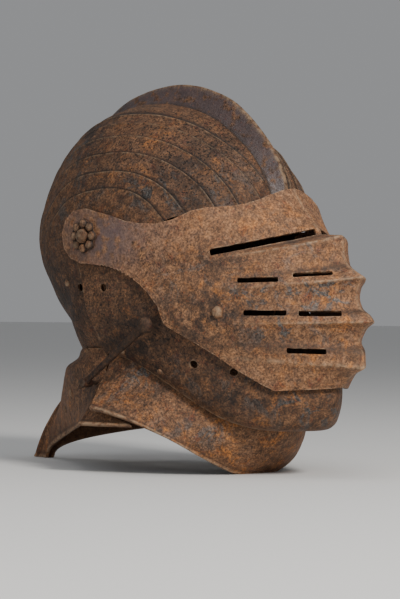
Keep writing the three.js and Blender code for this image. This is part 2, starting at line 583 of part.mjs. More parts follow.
// Bores and rivets are placed on the finished plates, on both sides of the helmet.
const solids = {
  skull: skullSolid(),
  visor: visorSolid(),
  bevor: bevorSolid(),
  gorget_front: gorgetSolid(FRONT_GORGET, FRONT_SIDE),
  gorget_nape: gorgetSolid(NAPE_GORGET, NAPE_SIDE),
};
const SIDES = [[-1, 'right'], [1, 'left']];
const fittings = [];
for (const [side, word] of SIDES) {
  for (const item of [...RIVETS, ...HOLES]) {
    if (item.sides && !item.sides.includes(side)) continue;
    const seat = seatOn(item.through.map((name) => solids[name]), item, side);
    fittings.push({ ...item, seat, fullName: `${item.name}_${word}` });
  }
}
for (const { through, seat, shank, bore } of fittings) {
  for (const name of through) solids[name] = solids[name].subtract(boreOn(seat, bore ?? shank + PLAY));
}
const pivotBore = crossBore(PIVOT_RIVET_RADIUS + PLAY, 0, PIVOT_Z);
for (const name of ['skull', 'visor', 'bevor']) solids[name] = solids[name].subtract(pivotBore);

// The latch turns on a rivet through the nape plate, square to its own bar.
const latchSeat = seatOn([solids.gorget_nape], { y: LATCH.eyeY, z: LATCH.eyeZ, turn: 0 }, -1);
const hubFoot = latchSeat.point.x - 2.6;
const latchHead = {
  point: new THREE.Vector3(LATCH.outside, LATCH.eyeY, LATCH.eyeZ),
  normal: new THREE.Vector3(-1, 0, 0),
  grip: latchSeat.point.x - LATCH.outside + 4,
};
solids.gorget_nape = solids.gorget_nape.subtract(boreOn(latchHead, LATCH_RIVET.shank + PLAY));

const helmet = new THREE.Group();
const STEEL = { skull: 0x6b4a35, visor: 0x7a5238, bevor: 0x74503a, gorget_front: 0x80583c, gorget_nape: 0x7a543b };
for (const name of Object.keys(solids)) helmet.add(plate(name, geometryOf(solids[name]), STEEL[name], 0.85, 0.5));
for (const { fullName, seat, head, rise, shank } of fittings.filter((item) => item.head)) {
  helmet.add(plate(fullName, onSeat(rivetProfile(head, rise, shank, seat.grip), seat, 10), 0x5c463a, 0.7, 0.7));
}
for (const [side, word] of SIDES) {
  const rosette = rosetteGeometry();
  rosette.rotateY(side * Math.PI / 2);
  rosette.translate(side * (VISOR_HALF_WIDTH + SEAT_GAP), 0, PIVOT_Z);
  helmet.add(plate(`rosette_${word}`, rosette, 0x6a4b38, 0.75, 0.6));
  const seat = {
    point: new THREE.Vector3(side * (VISOR_HALF_WIDTH + SEAT_GAP + ROSETTE_THICKNESS), 0, PIVOT_Z),
    normal: new THREE.Vector3(side, 0, 0),
  };
  const grip = VISOR_HALF_WIDTH + SEAT_GAP + ROSETTE_THICKNESS - (SKULL_HALF_WIDTH - WALL) + 0.9;
  helmet.add(plate(`pivot_rivet_${word}`, onSeat(rivetProfile(5.6, 4.2, PIVOT_RIVET_RADIUS, grip), seat, 14),
    0x5c463a, 0.7, 0.7));
}
helmet.add(plate('latch_arm', latchGeometry(hubFoot - LATCH.outside - LATCH.thickness), 0x54453d, 0.6, 0.8));
helmet.add(plate('latch_rivet', onSeat(rivetProfile(LATCH_RIVET.head, LATCH_RIVET.rise, LATCH_RIVET.shank,
  latchHead.grip), latchHead, 10), 0x5c463a, 0.7, 0.7));

// The middle of the whole helmet, front to back, is moved over the origin.
const middle = new THREE.Box3().setFromObject(helmet).getCenter(new THREE.Vector3());
for (const piece of helmet.children) piece.geometry.translate(0, -middle.y, 0);

export default helmet;
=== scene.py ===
import json
import math

import bpy
import numpy as np
from mathutils import Matrix, Vector


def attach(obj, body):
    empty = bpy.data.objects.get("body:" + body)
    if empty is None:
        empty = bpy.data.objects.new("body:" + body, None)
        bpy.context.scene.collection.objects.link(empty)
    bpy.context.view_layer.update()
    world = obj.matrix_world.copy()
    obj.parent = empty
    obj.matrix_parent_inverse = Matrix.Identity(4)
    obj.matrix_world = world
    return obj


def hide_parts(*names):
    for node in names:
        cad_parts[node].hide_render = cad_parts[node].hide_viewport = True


# A rusted fluted close helmet. Surfaces are worked out in millimetres, with y measured from the
# axis of the visor pivots, and moved into the frame, in metres, when their meshes are made.
# Its own right side is -X, and the face looks towards -Y.

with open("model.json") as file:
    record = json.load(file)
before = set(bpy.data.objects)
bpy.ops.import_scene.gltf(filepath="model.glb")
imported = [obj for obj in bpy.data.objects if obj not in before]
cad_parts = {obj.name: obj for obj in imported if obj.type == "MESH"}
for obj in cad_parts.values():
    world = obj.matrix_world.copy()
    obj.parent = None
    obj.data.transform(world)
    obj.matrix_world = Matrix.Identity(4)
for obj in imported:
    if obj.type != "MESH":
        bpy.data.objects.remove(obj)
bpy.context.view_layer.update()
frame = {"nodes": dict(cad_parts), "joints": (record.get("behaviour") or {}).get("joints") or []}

MM = 0.001
PIVOT = Vector(next(j["pos_m"] for j in frame["joints"] if j["name"] == "visor_pivot"))
PIVOT_Z = PIVOT.z / MM
WALL = 1.8
SKULL_HALF_WIDTH = 96.5
VISOR_HALF_WIDTH = 101.4
ARM_REACH = 120
RELIEF_END = 0.8
RANDOM = np.random.default_rng(7)

# Skull bowl, as a polar curve round the pivot axis: angle up from the front, radius without the
# comb, comb height, and how square the bowl is across.
SKULL_OUTLINE = np.array([
    (-90, 122, 0, 2.4), (-40, 119, 0, 2.4), (5, 114, 0, 2.1), (20, 113, 7, 2), (34, 110, 10.5, 2),
    (50, 107, 13.5, 2), (68, 106, 16.5, 2), (88, 107.5, 15.7, 2), (104, 111, 12.3, 2),
    (118, 113.5, 11.5, 2), (132, 114.5, 9, 2), (148, 114.5, 2, 2), (172, 113.5, 0, 2.1),
    (190, 108.5, 0, 2.22), (211, 102, 0, 2.26), (228, 103.2, 0, 2.16), (250, 115.3, 0, 2.43),
    (270, 122, 0, 2.4),
])
# Lines that run from the brow over the bowl to the nape: the comb, six flutes and the pivot, as
# shares of the half width at the crown and at the brow.
FLUTE_LINES = np.array([
    (0, 0), (0.48, 0.14), (0.59, 0.265), (0.71, 0.455), (0.82, 0.606), (0.9, 0.765), (0.952, 0.86),
    (1, 1),
])
CROWN_ANGLE = 105
FLUTE_SPACING = 12
BROW_ANGLE = 18

# Face plate rows: y and z on the median line, smooth: y without ridge or hollow, side: z at the
# pivot, fan: how the row climbs to the side, half: half width, round: 2 is oval, 1.2 is keeled.
VISOR_ROWS = np.array([
    (167.8, 167.8, 67.3, 61.5, 1, 91, 1.45), (176.4, 173, 76, 80, 1, 93.5, 1.35),
    (188.4, 176, 81.5, 92, 1, 95.5, 1.25), (187.3, 179, 92.8, 100, 1, 97.5, 1.25),
    (182.9, 181, 100, 105, 1, 98.6, 1.25), (188.2, 182, 111, 109.5, 1, 99.5, 1.25),
    (195.8, 182, 115.9, 112, 1, 100.2, 1.25), (191.8, 181.5, 121.2, 116, 1, 100.6, 1.25),
    (184, 180.5, 126.5, 120, 1, 100.9, 1.25), (181, 179, 135.5, 126, 1, 101.2, 1.25),
    (182.6, 177, 143.1, 130, 1, 101.4, 1.25), (187.8, 175, 148.7, 134, 1, 101.4, 1.25),
    (174.3, 171, 156.1, 140, 1, 101.4, 1.3), (169.8, 169, 161.5, 143, 1, 101.4, 1.3),
    (167.8, 162, 172.4, 149, 1, 101.4, 1.3), (167, 157, 179.7, 153, 1, 101.4, 1.35),
    (146, 155, 180.3, 156.5, 1, 101.4, 1.45), (143.8, 151, 185, 161, 1, 101.4, 1.5),
    (136, 140, 193.5, 172, 1, 101.4, 1.6), (127.5, 129, 204, 188, 1, 101.4, 1.7),
    (120.5, 120.5, 215, 206, 1, 101.4, 1.75), (112, 112, 230, 226, 1, 101.4, 1.8),
])
VISOR_CREASES = (2, 6, 11, 12, 15, 16)
BEVOR_ROWS = np.array([
    (128, 128, 33.4, 90, 4, 80, 1.9), (145, 145, 34.6, 91, 4, 81, 1.7),
    (154.5, 154.5, 39.2, 94, 3.8, 83, 1.6), (160, 160, 47.5, 98, 3.4, 85.5, 1.5),
    (163, 163, 57, 103, 3, 88, 1.42), (162.6, 162.6, 66, 109, 2.6, 90.5, 1.42),
    (159, 159, 80, 117, 2.2, 94, 1.5), (150, 150, 95, 126, 1.9, 96.5, 1.55),
    (138, 138, 120, 142, 1.6, 98.2, 1.7), (124, 124, 150, 160, 1.5, 98.7, 1.9),
    (110, 110, 178, 178, 1.5, 98.7, 2), (100, 100, 206, 206, 1.5, 98.7, 2),
])

# Outlines in the side view, as pairs of y and z. Each keeps what lies inside it.
SKULL_SIDE = [
    (-140, 196), (-70, 193), (-44, 180), (-34, 160), (-30, 130), (-30, 108), (-4, 104), (-4, 88),
    (20, 88), (140, 86), (140, 330), (-140, 330),
]
VISOR_SIDE = [
    (-210, 55), (-149, 55), (-141, 62.6), (-130, 70.2), (-118, 79), (-103, 90.5), (-89.5, 100),
    (-75.5, 108.5), (-70, 112.5), (-66.5, 121), (-65, 126), (-59, 133.5), (-51.5, 141.5),
    (-45, 146), (-33.5, 152), (-20, 155.8), (-9, 157), (4, 158), (15, 162), (22, 169), (25, 180),
    (21, 191), (12, 198), (0, 199.5), (-10, 197), (-24, 193.5), (-37, 189.2), (-49, 187.4),
    (-61, 187), (-72, 190.4), (-83, 197), (-92.5, 199.5), (-103, 200.6), (-110, 202.5),
    (-115.4, 207), (-118.5, 212), (-121, 217.5), (-210, 217.5),
]
# The stretch of the arm's lower edge that has a row of small nicks: y, then z.
ARM_EDGE = ((-45, -33.5, -20, -9), (145.6, 151.6, 155.4, 156.6))
BEVOR_SIDE = [
    (-180, 30), (-180, 90), (-130, 93), (-90, 106), (-60, 130), (-40, 155), (-27, 166), (-20, 180),
    (-12, 186), (0, 188), (8, 185), (13, 178), (11, 160), (5, 145), (3, 120), (-2, 104), (-2, 30),
]
FRONT_SIDE = [(-200, 0), (-200, 110), (-5, 110), (-7, 66), (-14, 48), (-16, 0)]
NAPE_SIDE = [
    (-56, 0), (-54, 33), (-38, 39), (-20, 46), (-9, 71), (-3.4, 78), (-3.4, 110), (200, 110), (200, 0),
]

# Neck plate edges from the top to the rim: facing, half, y, round, full, z, side, fan, flat.
FRONT_EDGES = (
    (-1, 80, 118, 1.9, 2, 41, 101, 4, 0), (-1, 76.6, 120, 1.9, 2, 37, 91, 4, 0),
    (-1, 109, 87, 2.8, 2, -1, 50, 1.5, 0.14),
)
NAPE_EDGES = (
    (1, 79.4, 66, 2.2, 2, 93, 94, 2, 0), (1, 80, 68, 2.15, 2, 85.5, 86, 2, 0),
    (1, 82, 90.5, 1.86, 2, 79.4, 78, 2, 0), (1, 106, 159.6, 0.64, 1.03, -1, 37, 0.35, 0.04),
)
# How far the last strip is drawn in at the median and at the side.
FRONT_DRAWN = (-6, 5)
NAPE_DRAWN = (-11, 4)
# How fast the forward ends of the nape plate turn in under the front plate, per millimetre.
NAPE_BEND = 0.0062

# Slots on the right, mirrored on the left: rear end, front end, height, depth of the cut.
SLOTS = [
    ((-70.5, -99.2, 165.8), (-2.8, -144, 182.6), 4.9, 60),
    ((-62, -118.3, 145.4), (-45.4, -143.5, 146.4), 3.8, 24),
    ((-37.5, -151, 149.4), (-17.6, -172.4, 151.4), 3.0, 24),
    ((-61.2, -123.8, 121.6), (-43.1, -149.8, 121.8), 4.0, 24),
    ((-37.8, -156.8, 121.5), (-16, -179.8, 121.8), 4.0, 24),
    ((-41.5, -148.9, 94.4), (-22.3, -170.7, 93.8), 4.0, 24),
]
SLOT_CORNER = 0.9

PIVOT_HOLE = 3.4
# Holes of the skull and of the bevor, in the side view: y, z and radius.
SKULL_HOLE = (12.3, 139.8, 3.0)
BEVOR_HOLES = ((0, PIVOT_Z, PIVOT_HOLE), (-16, 139.6, 3.1), (-84.6, 83.2, 3.0), (-112, 78, 2.7))
NAPE_HOLE = (1.5, 67.7, 1.9)
NICK_RADIUS = 1.25
NICKS = np.arange(-44, -15, 3.4)

# A distance that counts as nowhere near, in millimetres.
FAR = 50.0
# Faces that meet at more than this many degrees keep a sharp edge.
SHARP_ANGLE = 45
# The lowest that the rims of the neck plates go, just over the floor.
RIM_Z = 0.02


# Curves and noise.

def smooth_along(places, values, at, creases=()):
    """Cubic pieces through table rows that never overshoot them. Slopes break at the creases."""
    rise = np.diff(values) / np.diff(places)
    before = np.r_[rise[0], rise]
    after = np.r_[rise, rise[-1]]
    same = before * after > 0
    slope = np.where(same, 2 * before * after / np.where(same, before + after, 1), 0)
    slope[0], slope[-1] = rise[0], rise[-1]
    leaving, arriving = slope.copy(), slope.copy()
    for i in creases:
        leaving[i], arriving[i] = after[i], before[i]
    i = np.clip(np.searchsorted(places, at, side="right") - 1, 0, len(places) - 2)
    width = places[i + 1] - places[i]
    t = (at - places[i]) / width
    return ((1 + 2 * t) * (1 - t) ** 2 * values[i] + t * (1 - t) ** 2 * width * leaving[i]
            + t * t * (3 - 2 * t) * values[i + 1] + t * t * (t - 1) * width * arriving[i + 1])


def step_smooth(low, high, value):
    t = np.clip((value - low) / (high - low), 0, 1)
    return t * t * (3 - 2 * t)


LATTICE_SIZE = 32
LATTICE = RANDOM.random((LATTICE_SIZE,) * 3)


def noise(points, size, octaves=3, seed=0):
    """Smooth noise from -1 to 1 at points in millimetres, with features about size apart."""
    total, weight, scale = 0.0, 1.0, 1.0 / size
    reach = 0.0
    for octave in range(octaves):
        p = points * scale + 17.31 * (seed + 1) + 5.17 * octave
        cell = np.floor(p).astype(int)
        t = p - cell
        t = t * t * (3 - 2 * t)
        value = 0.0
        for corner in range(8):
            dx, dy, dz = corner & 1, corner >> 1 & 1, corner >> 2 & 1
            share = ((t[..., 0] if dx else 1 - t[..., 0]) * (t[..., 1] if dy else 1 - t[..., 1])
                     * (t[..., 2] if dz else 1 - t[..., 2]))
            i, j, k = ((cell[..., n] + d) % LATTICE_SIZE for n, d in enumerate((dx, dy, dz)))
            value = value + share * LATTICE[i, j, k]
        total = total + weight * (value - 0.5) * 2
        reach += weight
        weight *= 0.5
        scale *= 2.03
    return total / reach * 1.6


def polygon_distance(outline, y, z):
    """Distance to a closed outline, positive inside."""
    corners = np.asarray(outline, float)
    nearest = np.full(y.shape, 1e9)
    inside = np.zeros(y.shape, bool)
    for a, b in zip(corners, np.roll(corners, -1, axis=0)):
        run = b - a
        t = np.clip(((y - a[0]) * run[0] + (z - a[1]) * run[1]) / (run @ run), 0, 1)
        nearest = np.minimum(nearest, np.hypot(y - a[0] - t * run[0], z - a[1] - t * run[1]))
        crosses = (a[1] > z) != (b[1] > z)
        rise = run[1] if run[1] else 1e-9
        inside ^= crosses & (y < a[0] + (z - a[1]) / rise * run[0])
    return np.where(inside, nearest, -nearest)


def slot_distance(points, rear, front, height, depth, side):
    """Distance outside a slot with rounded ends, negative in the slot."""
    rear = np.array(rear, float) * (side, 1, 1)
    front = np.array(front, float) * (side, 1, 1)
    middle, run = (rear + front) / 2, front - rear
    length = np.linalg.norm(run)
    run = run / length
    through = np.cross((0, 0, 1), run)
    through /= np.linalg.norm(through)
    up = np.cross(run, through)
    q = points - middle
    along, high, deep = np.abs(q @ run), np.abs(q @ up), np.abs(q @ through)
    corner = min(SLOT_CORNER, height / 2)
    dx, dy = along - length / 2 + corner, high - height / 2 + corner
    flat = np.hypot(np.maximum(dx, 0), np.maximum(dy, 0)) + np.minimum(np.maximum(dx, dy), 0)
    return np.where(deep < depth / 2, flat - corner, FAR)


def bore_distance(points, y, z, radius):
    return np.hypot(points[..., 1] - y, points[..., 2] - z) - radius


# Surfaces.

def oval_point(share, curve, full=2.0):
    """A point on across**curve + along**full = 1, at a share of a quarter turn."""
    across, along = np.sin(share * np.pi / 2), np.cos(share * np.pi / 2)
    across, along = np.maximum(across, 1e-9), np.maximum(along, 1e-9)
    reach = np.ones(np.broadcast(share, curve).shape)
    for _ in range(14):
        a, b = (reach * across) ** curve, (reach * along) ** full
        reach = np.maximum(reach - (a + b - 1) * reach / (curve * a + full * b), 0.05)
    return reach * across, reach * along


def relief_share(across):
    """How much of the median's ridges is left at a share of the half width."""
    return np.maximum(0, 1 - (across / RELIEF_END) ** 2) ** 1.5


def face_surface(rows, column, row, creases=()):
    places = np.arange(len(rows), dtype=float)

    def read(k):
        return smooth_along(places, rows[:, k], row, creases)

    share = np.minimum(np.abs(column), 1)
    back = np.maximum(np.abs(column) - 1, 0) * ARM_REACH
    across, along = oval_point(share, read(6))
    relief = relief_share(across)
    front = read(1) + (read(0) - read(1)) * relief
    z = read(2) + (read(3) - read(2)) * across ** read(4)
    x = np.sign(column) * across * read(5)
    return np.stack([x, -front * along + back, z + 0 * x], -1)


def neck_edge(line, column):
    facing, half, depth, curve, full, z, side, fan, flat = line
    share = np.minimum(np.abs(column), 1)
    ahead = np.maximum(np.abs(column) - 1, 0) * ARM_REACH
    across, along = oval_point(share, curve, full)
    lift = np.maximum(0, (across - flat) / (1 - flat)) ** fan
    reach = across * half - (NAPE_BEND * ahead ** 2 if facing > 0 else 0)
    return np.stack([np.sign(column) * reach, facing * (depth * along - ahead),
                     z + (side - z) * lift], -1)


def neck_surface(edges, drawn, column, row):
    """Neck plate of straight strips between its edges, the last one drawn in towards the neck."""
    lines = np.stack([neck_edge(line, column) for line in edges])
    last = len(edges) - 1
    strip = np.clip(np.floor(row).astype(int), 0, last - 1)
    place = tuple(np.indices(column.shape))
    upper, lower = lines[(strip, *place)], lines[(strip + 1, *place)]
    p = upper + (lower - upper) * (row - strip)[..., None]
    share = np.minimum(np.abs(column), 1)
    down = np.clip(row - last + 1, 0, 1)
    pull = (drawn[0] * (1 - share) + drawn[1] * share) * 4 * down * (1 - down)
    level = np.maximum(np.hypot(p[..., 0], p[..., 1]), 1e-6)
    p[..., 0] -= p[..., 0] / level * pull
    p[..., 1] -= p[..., 1] / level * pull
    return p


def flute_share(line, angle):
    def swing(turned):
        return 1 - np.cos(np.radians(turned))
    turned = np.minimum(np.abs(angle - CROWN_ANGLE), 97)
    crown, brow = FLUTE_LINES[line, 0], FLUTE_LINES[line, 1]
    return crown - (crown - brow) * swing(turned) / swing(CROWN_ANGLE - BROW_ANGLE)


def comb_profile(across):
    """Comb height, as a share, against the distance from the median in millimetres."""
    crest = 1 - 0.05 * (across / 2.0) ** 2
    side = np.clip(1 - (across - 2.0) / 8.5, 0, 1)
    return np.where(across < 2.0, crest, 0.95 * side ** 1.35)


def skull_surface(column, angle, relief):
    """Bowl point for a column, 0 at the comb, 1 to 6 at the flutes and 7 at the pivot."""
    turn = np.radians(angle)
    places = SKULL_OUTLINE[:, 0]
    bowl, comb, square = (smooth_along(places, SKULL_OUTLINE[:, k], angle) for k in (1, 2, 3))
    place = np.abs(column)
    lower = np.minimum(np.floor(place), 6).astype(int)
    start = flute_share(lower, angle)
    share = start + (flute_share(lower + 1, angle) - start) * (place - lower)
    radius = bowl * np.maximum(0, 1 - share ** square) ** (1 / square)
    across = share * SKULL_HALF_WIDTH
    radius = radius + comb * comb_profile(across)
    if relief:
        radius = radius + skull_relief(place, angle, across, comb)
    return np.stack([np.sign(column) * across, -radius * np.cos(turn),
                     PIVOT_Z + radius * np.sin(turn)], -1)


def flute_offset(place):
    """Distance from the nearest flute line, in about millimetres."""
    return (place - np.clip(np.round(place), 1, 6)) * FLUTE_SPACING


def flute_fade(angle):
    """How deep the flutes are: none at the brow and at the nape."""
    return step_smooth(-5, 12, angle) * step_smooth(215, 188, angle)


def skull_relief(place, angle, across, comb):
    offset = flute_offset(place)
    ridge = np.exp(-(np.abs(offset) / 0.6) ** 2.2)
    groove = -np.exp(-((offset + 1.2) / 0.6) ** 2)
    between = np.clip(place, 1, 6.6)
    hollow = -0.8 * np.sin(np.pi * (between % 1)) ** 2 * (place > 1) * (place < 6)
    line = np.where((place > 0.4) & (place < 6.5), ridge + groove, 0) + hollow
    base = -0.7 * np.exp(-((across - 10.8) / 0.9) ** 2) * np.clip(comb / 8, 0, 1)
    return line * flute_fade(angle) + base


# Meshes.

def grid_triangles(rows, columns, wrap=False):
    r, c = np.meshgrid(np.arange(rows if wrap else rows - 1), np.arange(columns - 1), indexing="ij")
    a = r * columns + c
    b = (r + 1) % rows * columns + c
    a, b = a.ravel(), b.ravel()
    return np.concatenate([np.stack([a, a + 1, b + 1], 1), np.stack([a, b + 1, b], 1)])


def grid_normals(p, wrap=False, passes=0):
    if wrap:
        along = np.roll(p, -1, 0) - np.roll(p, 1, 0)
    else:
        along = np.gradient(p, axis=0)
    n = np.cross(np.gradient(p, axis=1), along)
    n /= np.maximum(np.linalg.norm(n, axis=-1, keepdims=True), 1e-9)
    for _ in range(passes):
        padded = np.pad(n, ((1, 1), (1, 1), (0, 0)), mode="edge")
        n = (n * 2 + padded[2:, 1:-1] + padded[:-2, 1:-1] + padded[1:-1, 2:] + padded[1:-1, :-2]) / 6
        n /= np.maximum(np.linalg.norm(n, axis=-1, keepdims=True), 1e-9)
    return n


def clip(triangles, keep, layers):
    """Cuts a triangle mesh along keep = 0. Each array in layers is carried to the cut points."""
    inside = keep[triangles] > 0
    count = inside.sum(1)
    pieces = [triangles[count == 3]]
    edges = []
    for wanted in (1, 2):
        mixed = triangles[count == wanted]
        flags = inside[count == wanted]
        odd = np.argmax(flags == (wanted == 1), axis=1)
        order = (odd[:, None] + np.arange(3)) % 3
        a, b, c = np.take_along_axis(mixed, order, 1).T
        edges.append((wanted, a, b, c))
    pairs = np.concatenate([np.concatenate([np.stack([a, b], 1), np.stack([a, c], 1)])
                            for _, a, b, c in edges])
    pairs = np.sort(pairs, axis=1)
    keys = pairs[:, 0] * len(keep) + pairs[:, 1]
    unique, inverse = np.unique(keys, return_inverse=True)
    i, j = unique // len(keep), unique % len(keep)
    t = np.clip(keep[i] / (keep[i] - keep[j]), 0.03, 0.97)
    cut = len(keep) + inverse
    place = 0
    for wanted, a, b, c in edges:
        n = len(a)
        ab, ac = cut[place:place + n], cut[place + n:place + 2 * n]
        place += 2 * n
        if wanted == 1:
            pieces.append(np.stack([a, ab, ac], 1))
        else:
            pieces.append(np.stack([ab, b, c], 1))
            pieces.append(np.stack([ab, c, ac], 1))
    triangles = np.concatenate(pieces)
    used, packed = np.unique(triangles, return_inverse=True)
    carried = []
    for layer in layers:
        share = t.reshape(-1, *[1] * (layer.ndim - 1))
        added = layer[i] + (layer[j] - layer[i]) * share
        carried.append(np.concatenate([layer, added])[used])
    return packed.reshape(-1, 3), carried


def add_object(name, data):
    thing = bpy.data.objects.new(name, data)
    bpy.context.scene.collection.objects.link(thing)
    return thing


def make_object(name, points, triangles, attributes):
    mesh = bpy.data.meshes.new(name)
    placed = (points + (0, PIVOT.y / MM, 0)) * MM
    mesh.vertices.add(len(placed))
    mesh.vertices.foreach_set("co", placed.astype(np.float32).ravel())
    mesh.loops.add(triangles.size)
    mesh.loops.foreach_set("vertex_index", triangles.astype(np.int32).ravel())
    mesh.polygons.add(len(triangles))
    mesh.polygons.foreach_set("loop_start", np.arange(0, triangles.size, 3, dtype=np.int32))
    mesh.update(calc_edges=True)
    mesh.validate()
    for key, values in attributes.items():
        layer = mesh.attributes.new(key, "FLOAT", "POINT")
        layer.data.foreach_set("value", values.astype(np.float32))
    mesh.shade_smooth()
    mesh.set_sharp_from_angle(angle=math.radians(SHARP_ANGLE))
    return add_object(name, mesh)


# Outer points of each finished plate, for the rivets that sit on it.
SKINS = {}


def make_plate(name, outer, inner, keep, masks, wrap=False):
    """Thin plate from an outer and an inner grid, cut where keep is negative, its edges closed."""
    rows, columns = outer.shape[:2]
    SKINS[name] = outer.reshape(-1, 3)
    triangles = grid_triangles(rows, columns, wrap)
    names = sorted(masks)
    layers = [outer.reshape(-1, 3), inner.reshape(-1, 3)] + [masks[k].ravel() for k in names]
    triangles, layers = clip(triangles, keep.ravel(), layers)
    outside, inside = layers[:2]
    edges = np.concatenate([triangles[:, [0, 1]], triangles[:, [1, 2]], triangles[:, [2, 0]]])
    count = len(outside)
    forward = edges[:, 0] * count + edges[:, 1]
    backward = edges[:, 1] * count + edges[:, 0]
    rim = edges[~np.isin(forward, backward)]
    a, b = rim.T
    every = np.concatenate([
        triangles, triangles[:, ::-1] + count,
        np.stack([b, a, a + count], 1), np.stack([b, a + count, b + count], 1),
    ])
    points = np.concatenate([outside, inside])
    size = (points[every[:, 0]] * np.cross(points[every[:, 1]], points[every[:, 2]])).sum()
    if size < 0:
        every = every[:, ::-1]
    edge_mask = np.zeros(count)
    edge_mask[np.unique(rim)] = 1
    attributes = {k: np.concatenate([v, v * 0.4]) for k, v in zip(names, layers[2:])}
    attributes["edge"] = np.concatenate([edge_mask, edge_mask * 0.6])
    attributes["lining"] = np.concatenate([np.zeros(count), np.ones(count)])
    return make_object(name, points, every, attributes)


def soften(p, passes=1):
    """Evens a grid out from row to row. The first and the last row stay."""
    for _ in range(passes):
        q = p.copy()
        q[1:-1] = (p[:-2] + 2 * p[1:-1] + p[2:]) / 4
        p = q
    return p


def spaced_rows(rows, spacing, surface):
    """Row numbers about spacing apart, measured along the median and the side lines."""
    stations = [0.0]
    for i in range(len(rows) - 1):
        fine = np.linspace(i, i + 1, 9)
        lengths = []
        for column in (0.0, 0.35, 0.9):
            p = surface(np.full(9, column), fine)
            lengths.append(np.linalg.norm(np.diff(p, axis=0), axis=1).sum())
        count = max(2, int(math.ceil(max(lengths) / spacing)))
        stations.extend(np.linspace(i, i + 1, count + 1)[1:])
    return np.array(stations)


def blob(p, y, z, size, stretch=1.0, slant=0.0):
    """Soft round patch in the side view, on both sides."""
    c, s = math.cos(math.radians(slant)), math.sin(math.radians(slant))
    dy, dz = p[..., 1] - y, p[..., 2] - z
    u, v = (dy * c + dz * s) / stretch, -dy * s + dz * c
    return np.exp(-(u * u + v * v) / (size * size))


def patches(p, *rows):
    """Sum of soft patches: weight, y, z and size, then as needed the stretch and the slant."""
    return sum(row[0] * blob(p, *row[1:]) for row in rows)


# Skull.

def build_skull():
    at_comb = [0, 0.012, 0.025, 0.04, 0.06, 0.085, 0.11, 0.135, 0.16, 0.185, 0.21, 0.235, 0.26,
               0.29, 0.33, 0.38, 0.43, 0.48, 0.53]
    round_flute = [-0.42, -0.3, -0.21, -0.16, -0.125, -0.095, -0.07, -0.045, -0.02, 0.005, 0.03,
                   0.055, 0.08, 0.12, 0.19, 0.29, 0.41]
    at_flutes = [flute + d for flute in range(1, 7) for d in round_flute]
    at_pivot = list(7 - 0.56 * np.linspace(1, 0.09, 24) ** 1.6)
    columns = np.array(sorted(at_comb + at_flutes + at_pivot))
    columns = np.r_[-columns[:0:-1], columns]
    angles = np.linspace(-90, 270, 241)[:-1]
    column, angle = np.meshgrid(columns, angles)
    outer = skull_surface(column, angle, True)
    smooth = skull_surface(column, angle, False)
    normal = grid_normals(outer, wrap=True)
    calm = grid_normals(smooth, wrap=True, passes=6)
    uneven = 0.35 * noise(smooth, 26, 2, 1) + 0.12 * noise(smooth, 7, 2, 2)
    outer = outer + normal * uneven[..., None]
    inner = smooth - calm * WALL
    keep = polygon_distance(SKULL_SIDE, smooth[..., 1], smooth[..., 2])
    keep = keep + 0.25 * noise(smooth, 5, 2, 3)
    keep = np.minimum(keep, bore_distance(smooth, *SKULL_HOLE))
    offset = flute_offset(np.abs(column))
    across = np.abs(smooth[..., 0])
    comb = smooth_along(SKULL_OUTLINE[:, 0], SKULL_OUTLINE[:, 2], angle)
    fade = flute_fade(angle)
    on_comb = np.clip(comb / 8, 0, 1)
    masks = {
        # Painted highlight along each flute ridge and along the comb's top, partly rubbed wear.
        "crest": 0.8 * np.exp(-((offset + 0.15) / 0.5) ** 2) * fade
        + np.exp(-(across / 2.4) ** 4) * on_comb,
        # Painted shade in the groove beside each flute and at the comb's foot.
        "groove": 1.3 * np.exp(-((offset + 1.2) / 0.75) ** 2) * fade
        + np.exp(-((across - 10.9) / 1.4) ** 2) * on_comb,
        "patina": 1.3 * step_smooth(12, 9.5, across) * step_smooth(1.6, 2.6, across) * on_comb,
        "pitted": patches(smooth, (1, -48, 262, 34, 1.5, -35), (0.8, -72, 228, 30),
                          (0.55, 10, 262, 30), (0.7, 25, 135, 30, 1.3, 60)),
        "dark": patches(smooth, (1, 40, 120, 34), (0.7, 70, 150, 36), (1.1, 38, 262, 15, 2.6, 40),
                        (0.9, -62, 236, 17, 1.8, -50), (0.8, -82, 214, 12, 1.5),
                        (0.5, 5, 214, 12, 2.4, 25)),
        "ochre": patches(smooth, (0.7, -20, 232, 30, 1.4, -30), (0.4, 60, 215, 40),
                         (0.9, -92, 232, 16), (0.4, -30, 262, 20, 1.6, -30)),
        "steel": patches(smooth, (1.1, -70, 212, 18, 1.5), (0.6, 30, 200, 22),
                         (0.9, 45, 250, 20, 2.0, 40), (0.7, -30, 212, 14, 1.8)),
    }
    return make_plate("skull_plate", outer, inner, keep, masks, wrap=True)


# Visor.

def build_face(rows, creases, outline, spacing, slots=(), dents=None):
    """Grids of a face plate: its middle, both skins, where it is kept, and its row numbers."""
    def surface(column, row):
        return face_surface(rows, column, row, creases)

    stations = spaced_rows(rows, spacing, surface)
    count = int(215 / spacing)
    half = np.r_[np.linspace(0, 1, count), 1 + np.arange(1, int(30 / spacing)) * spacing / ARM_REACH]
    columns = np.r_[-half[:0:-1], half]
    column, row = np.meshgrid(columns, stations)
    p = soften(surface(column, row))
    calm = grid_normals(p, passes=5)
    normal = grid_normals(p, passes=1)
    push = 0.3 * noise(p, 24, 2, 4) + 0.1 * noise(p, 6, 2, 5)
    if dents:
        push = push + dents(p)
    outer = p + normal * push[..., None]
    inner = p - calm * WALL + calm * np.minimum(push, 0)[..., None]
    keep = polygon_distance(outline, p[..., 1], p[..., 2])
    keep = keep + 0.22 * noise(p, 5, 2, 6)
    for rear, front, height, depth in slots:
        for side in (1, -1):
            ragged = 0.18 * noise(p, 3.5, 2, 7)
            keep = np.minimum(keep, slot_distance(p, rear, front, height, depth, side) + ragged)
    return p, outer, inner, keep, row


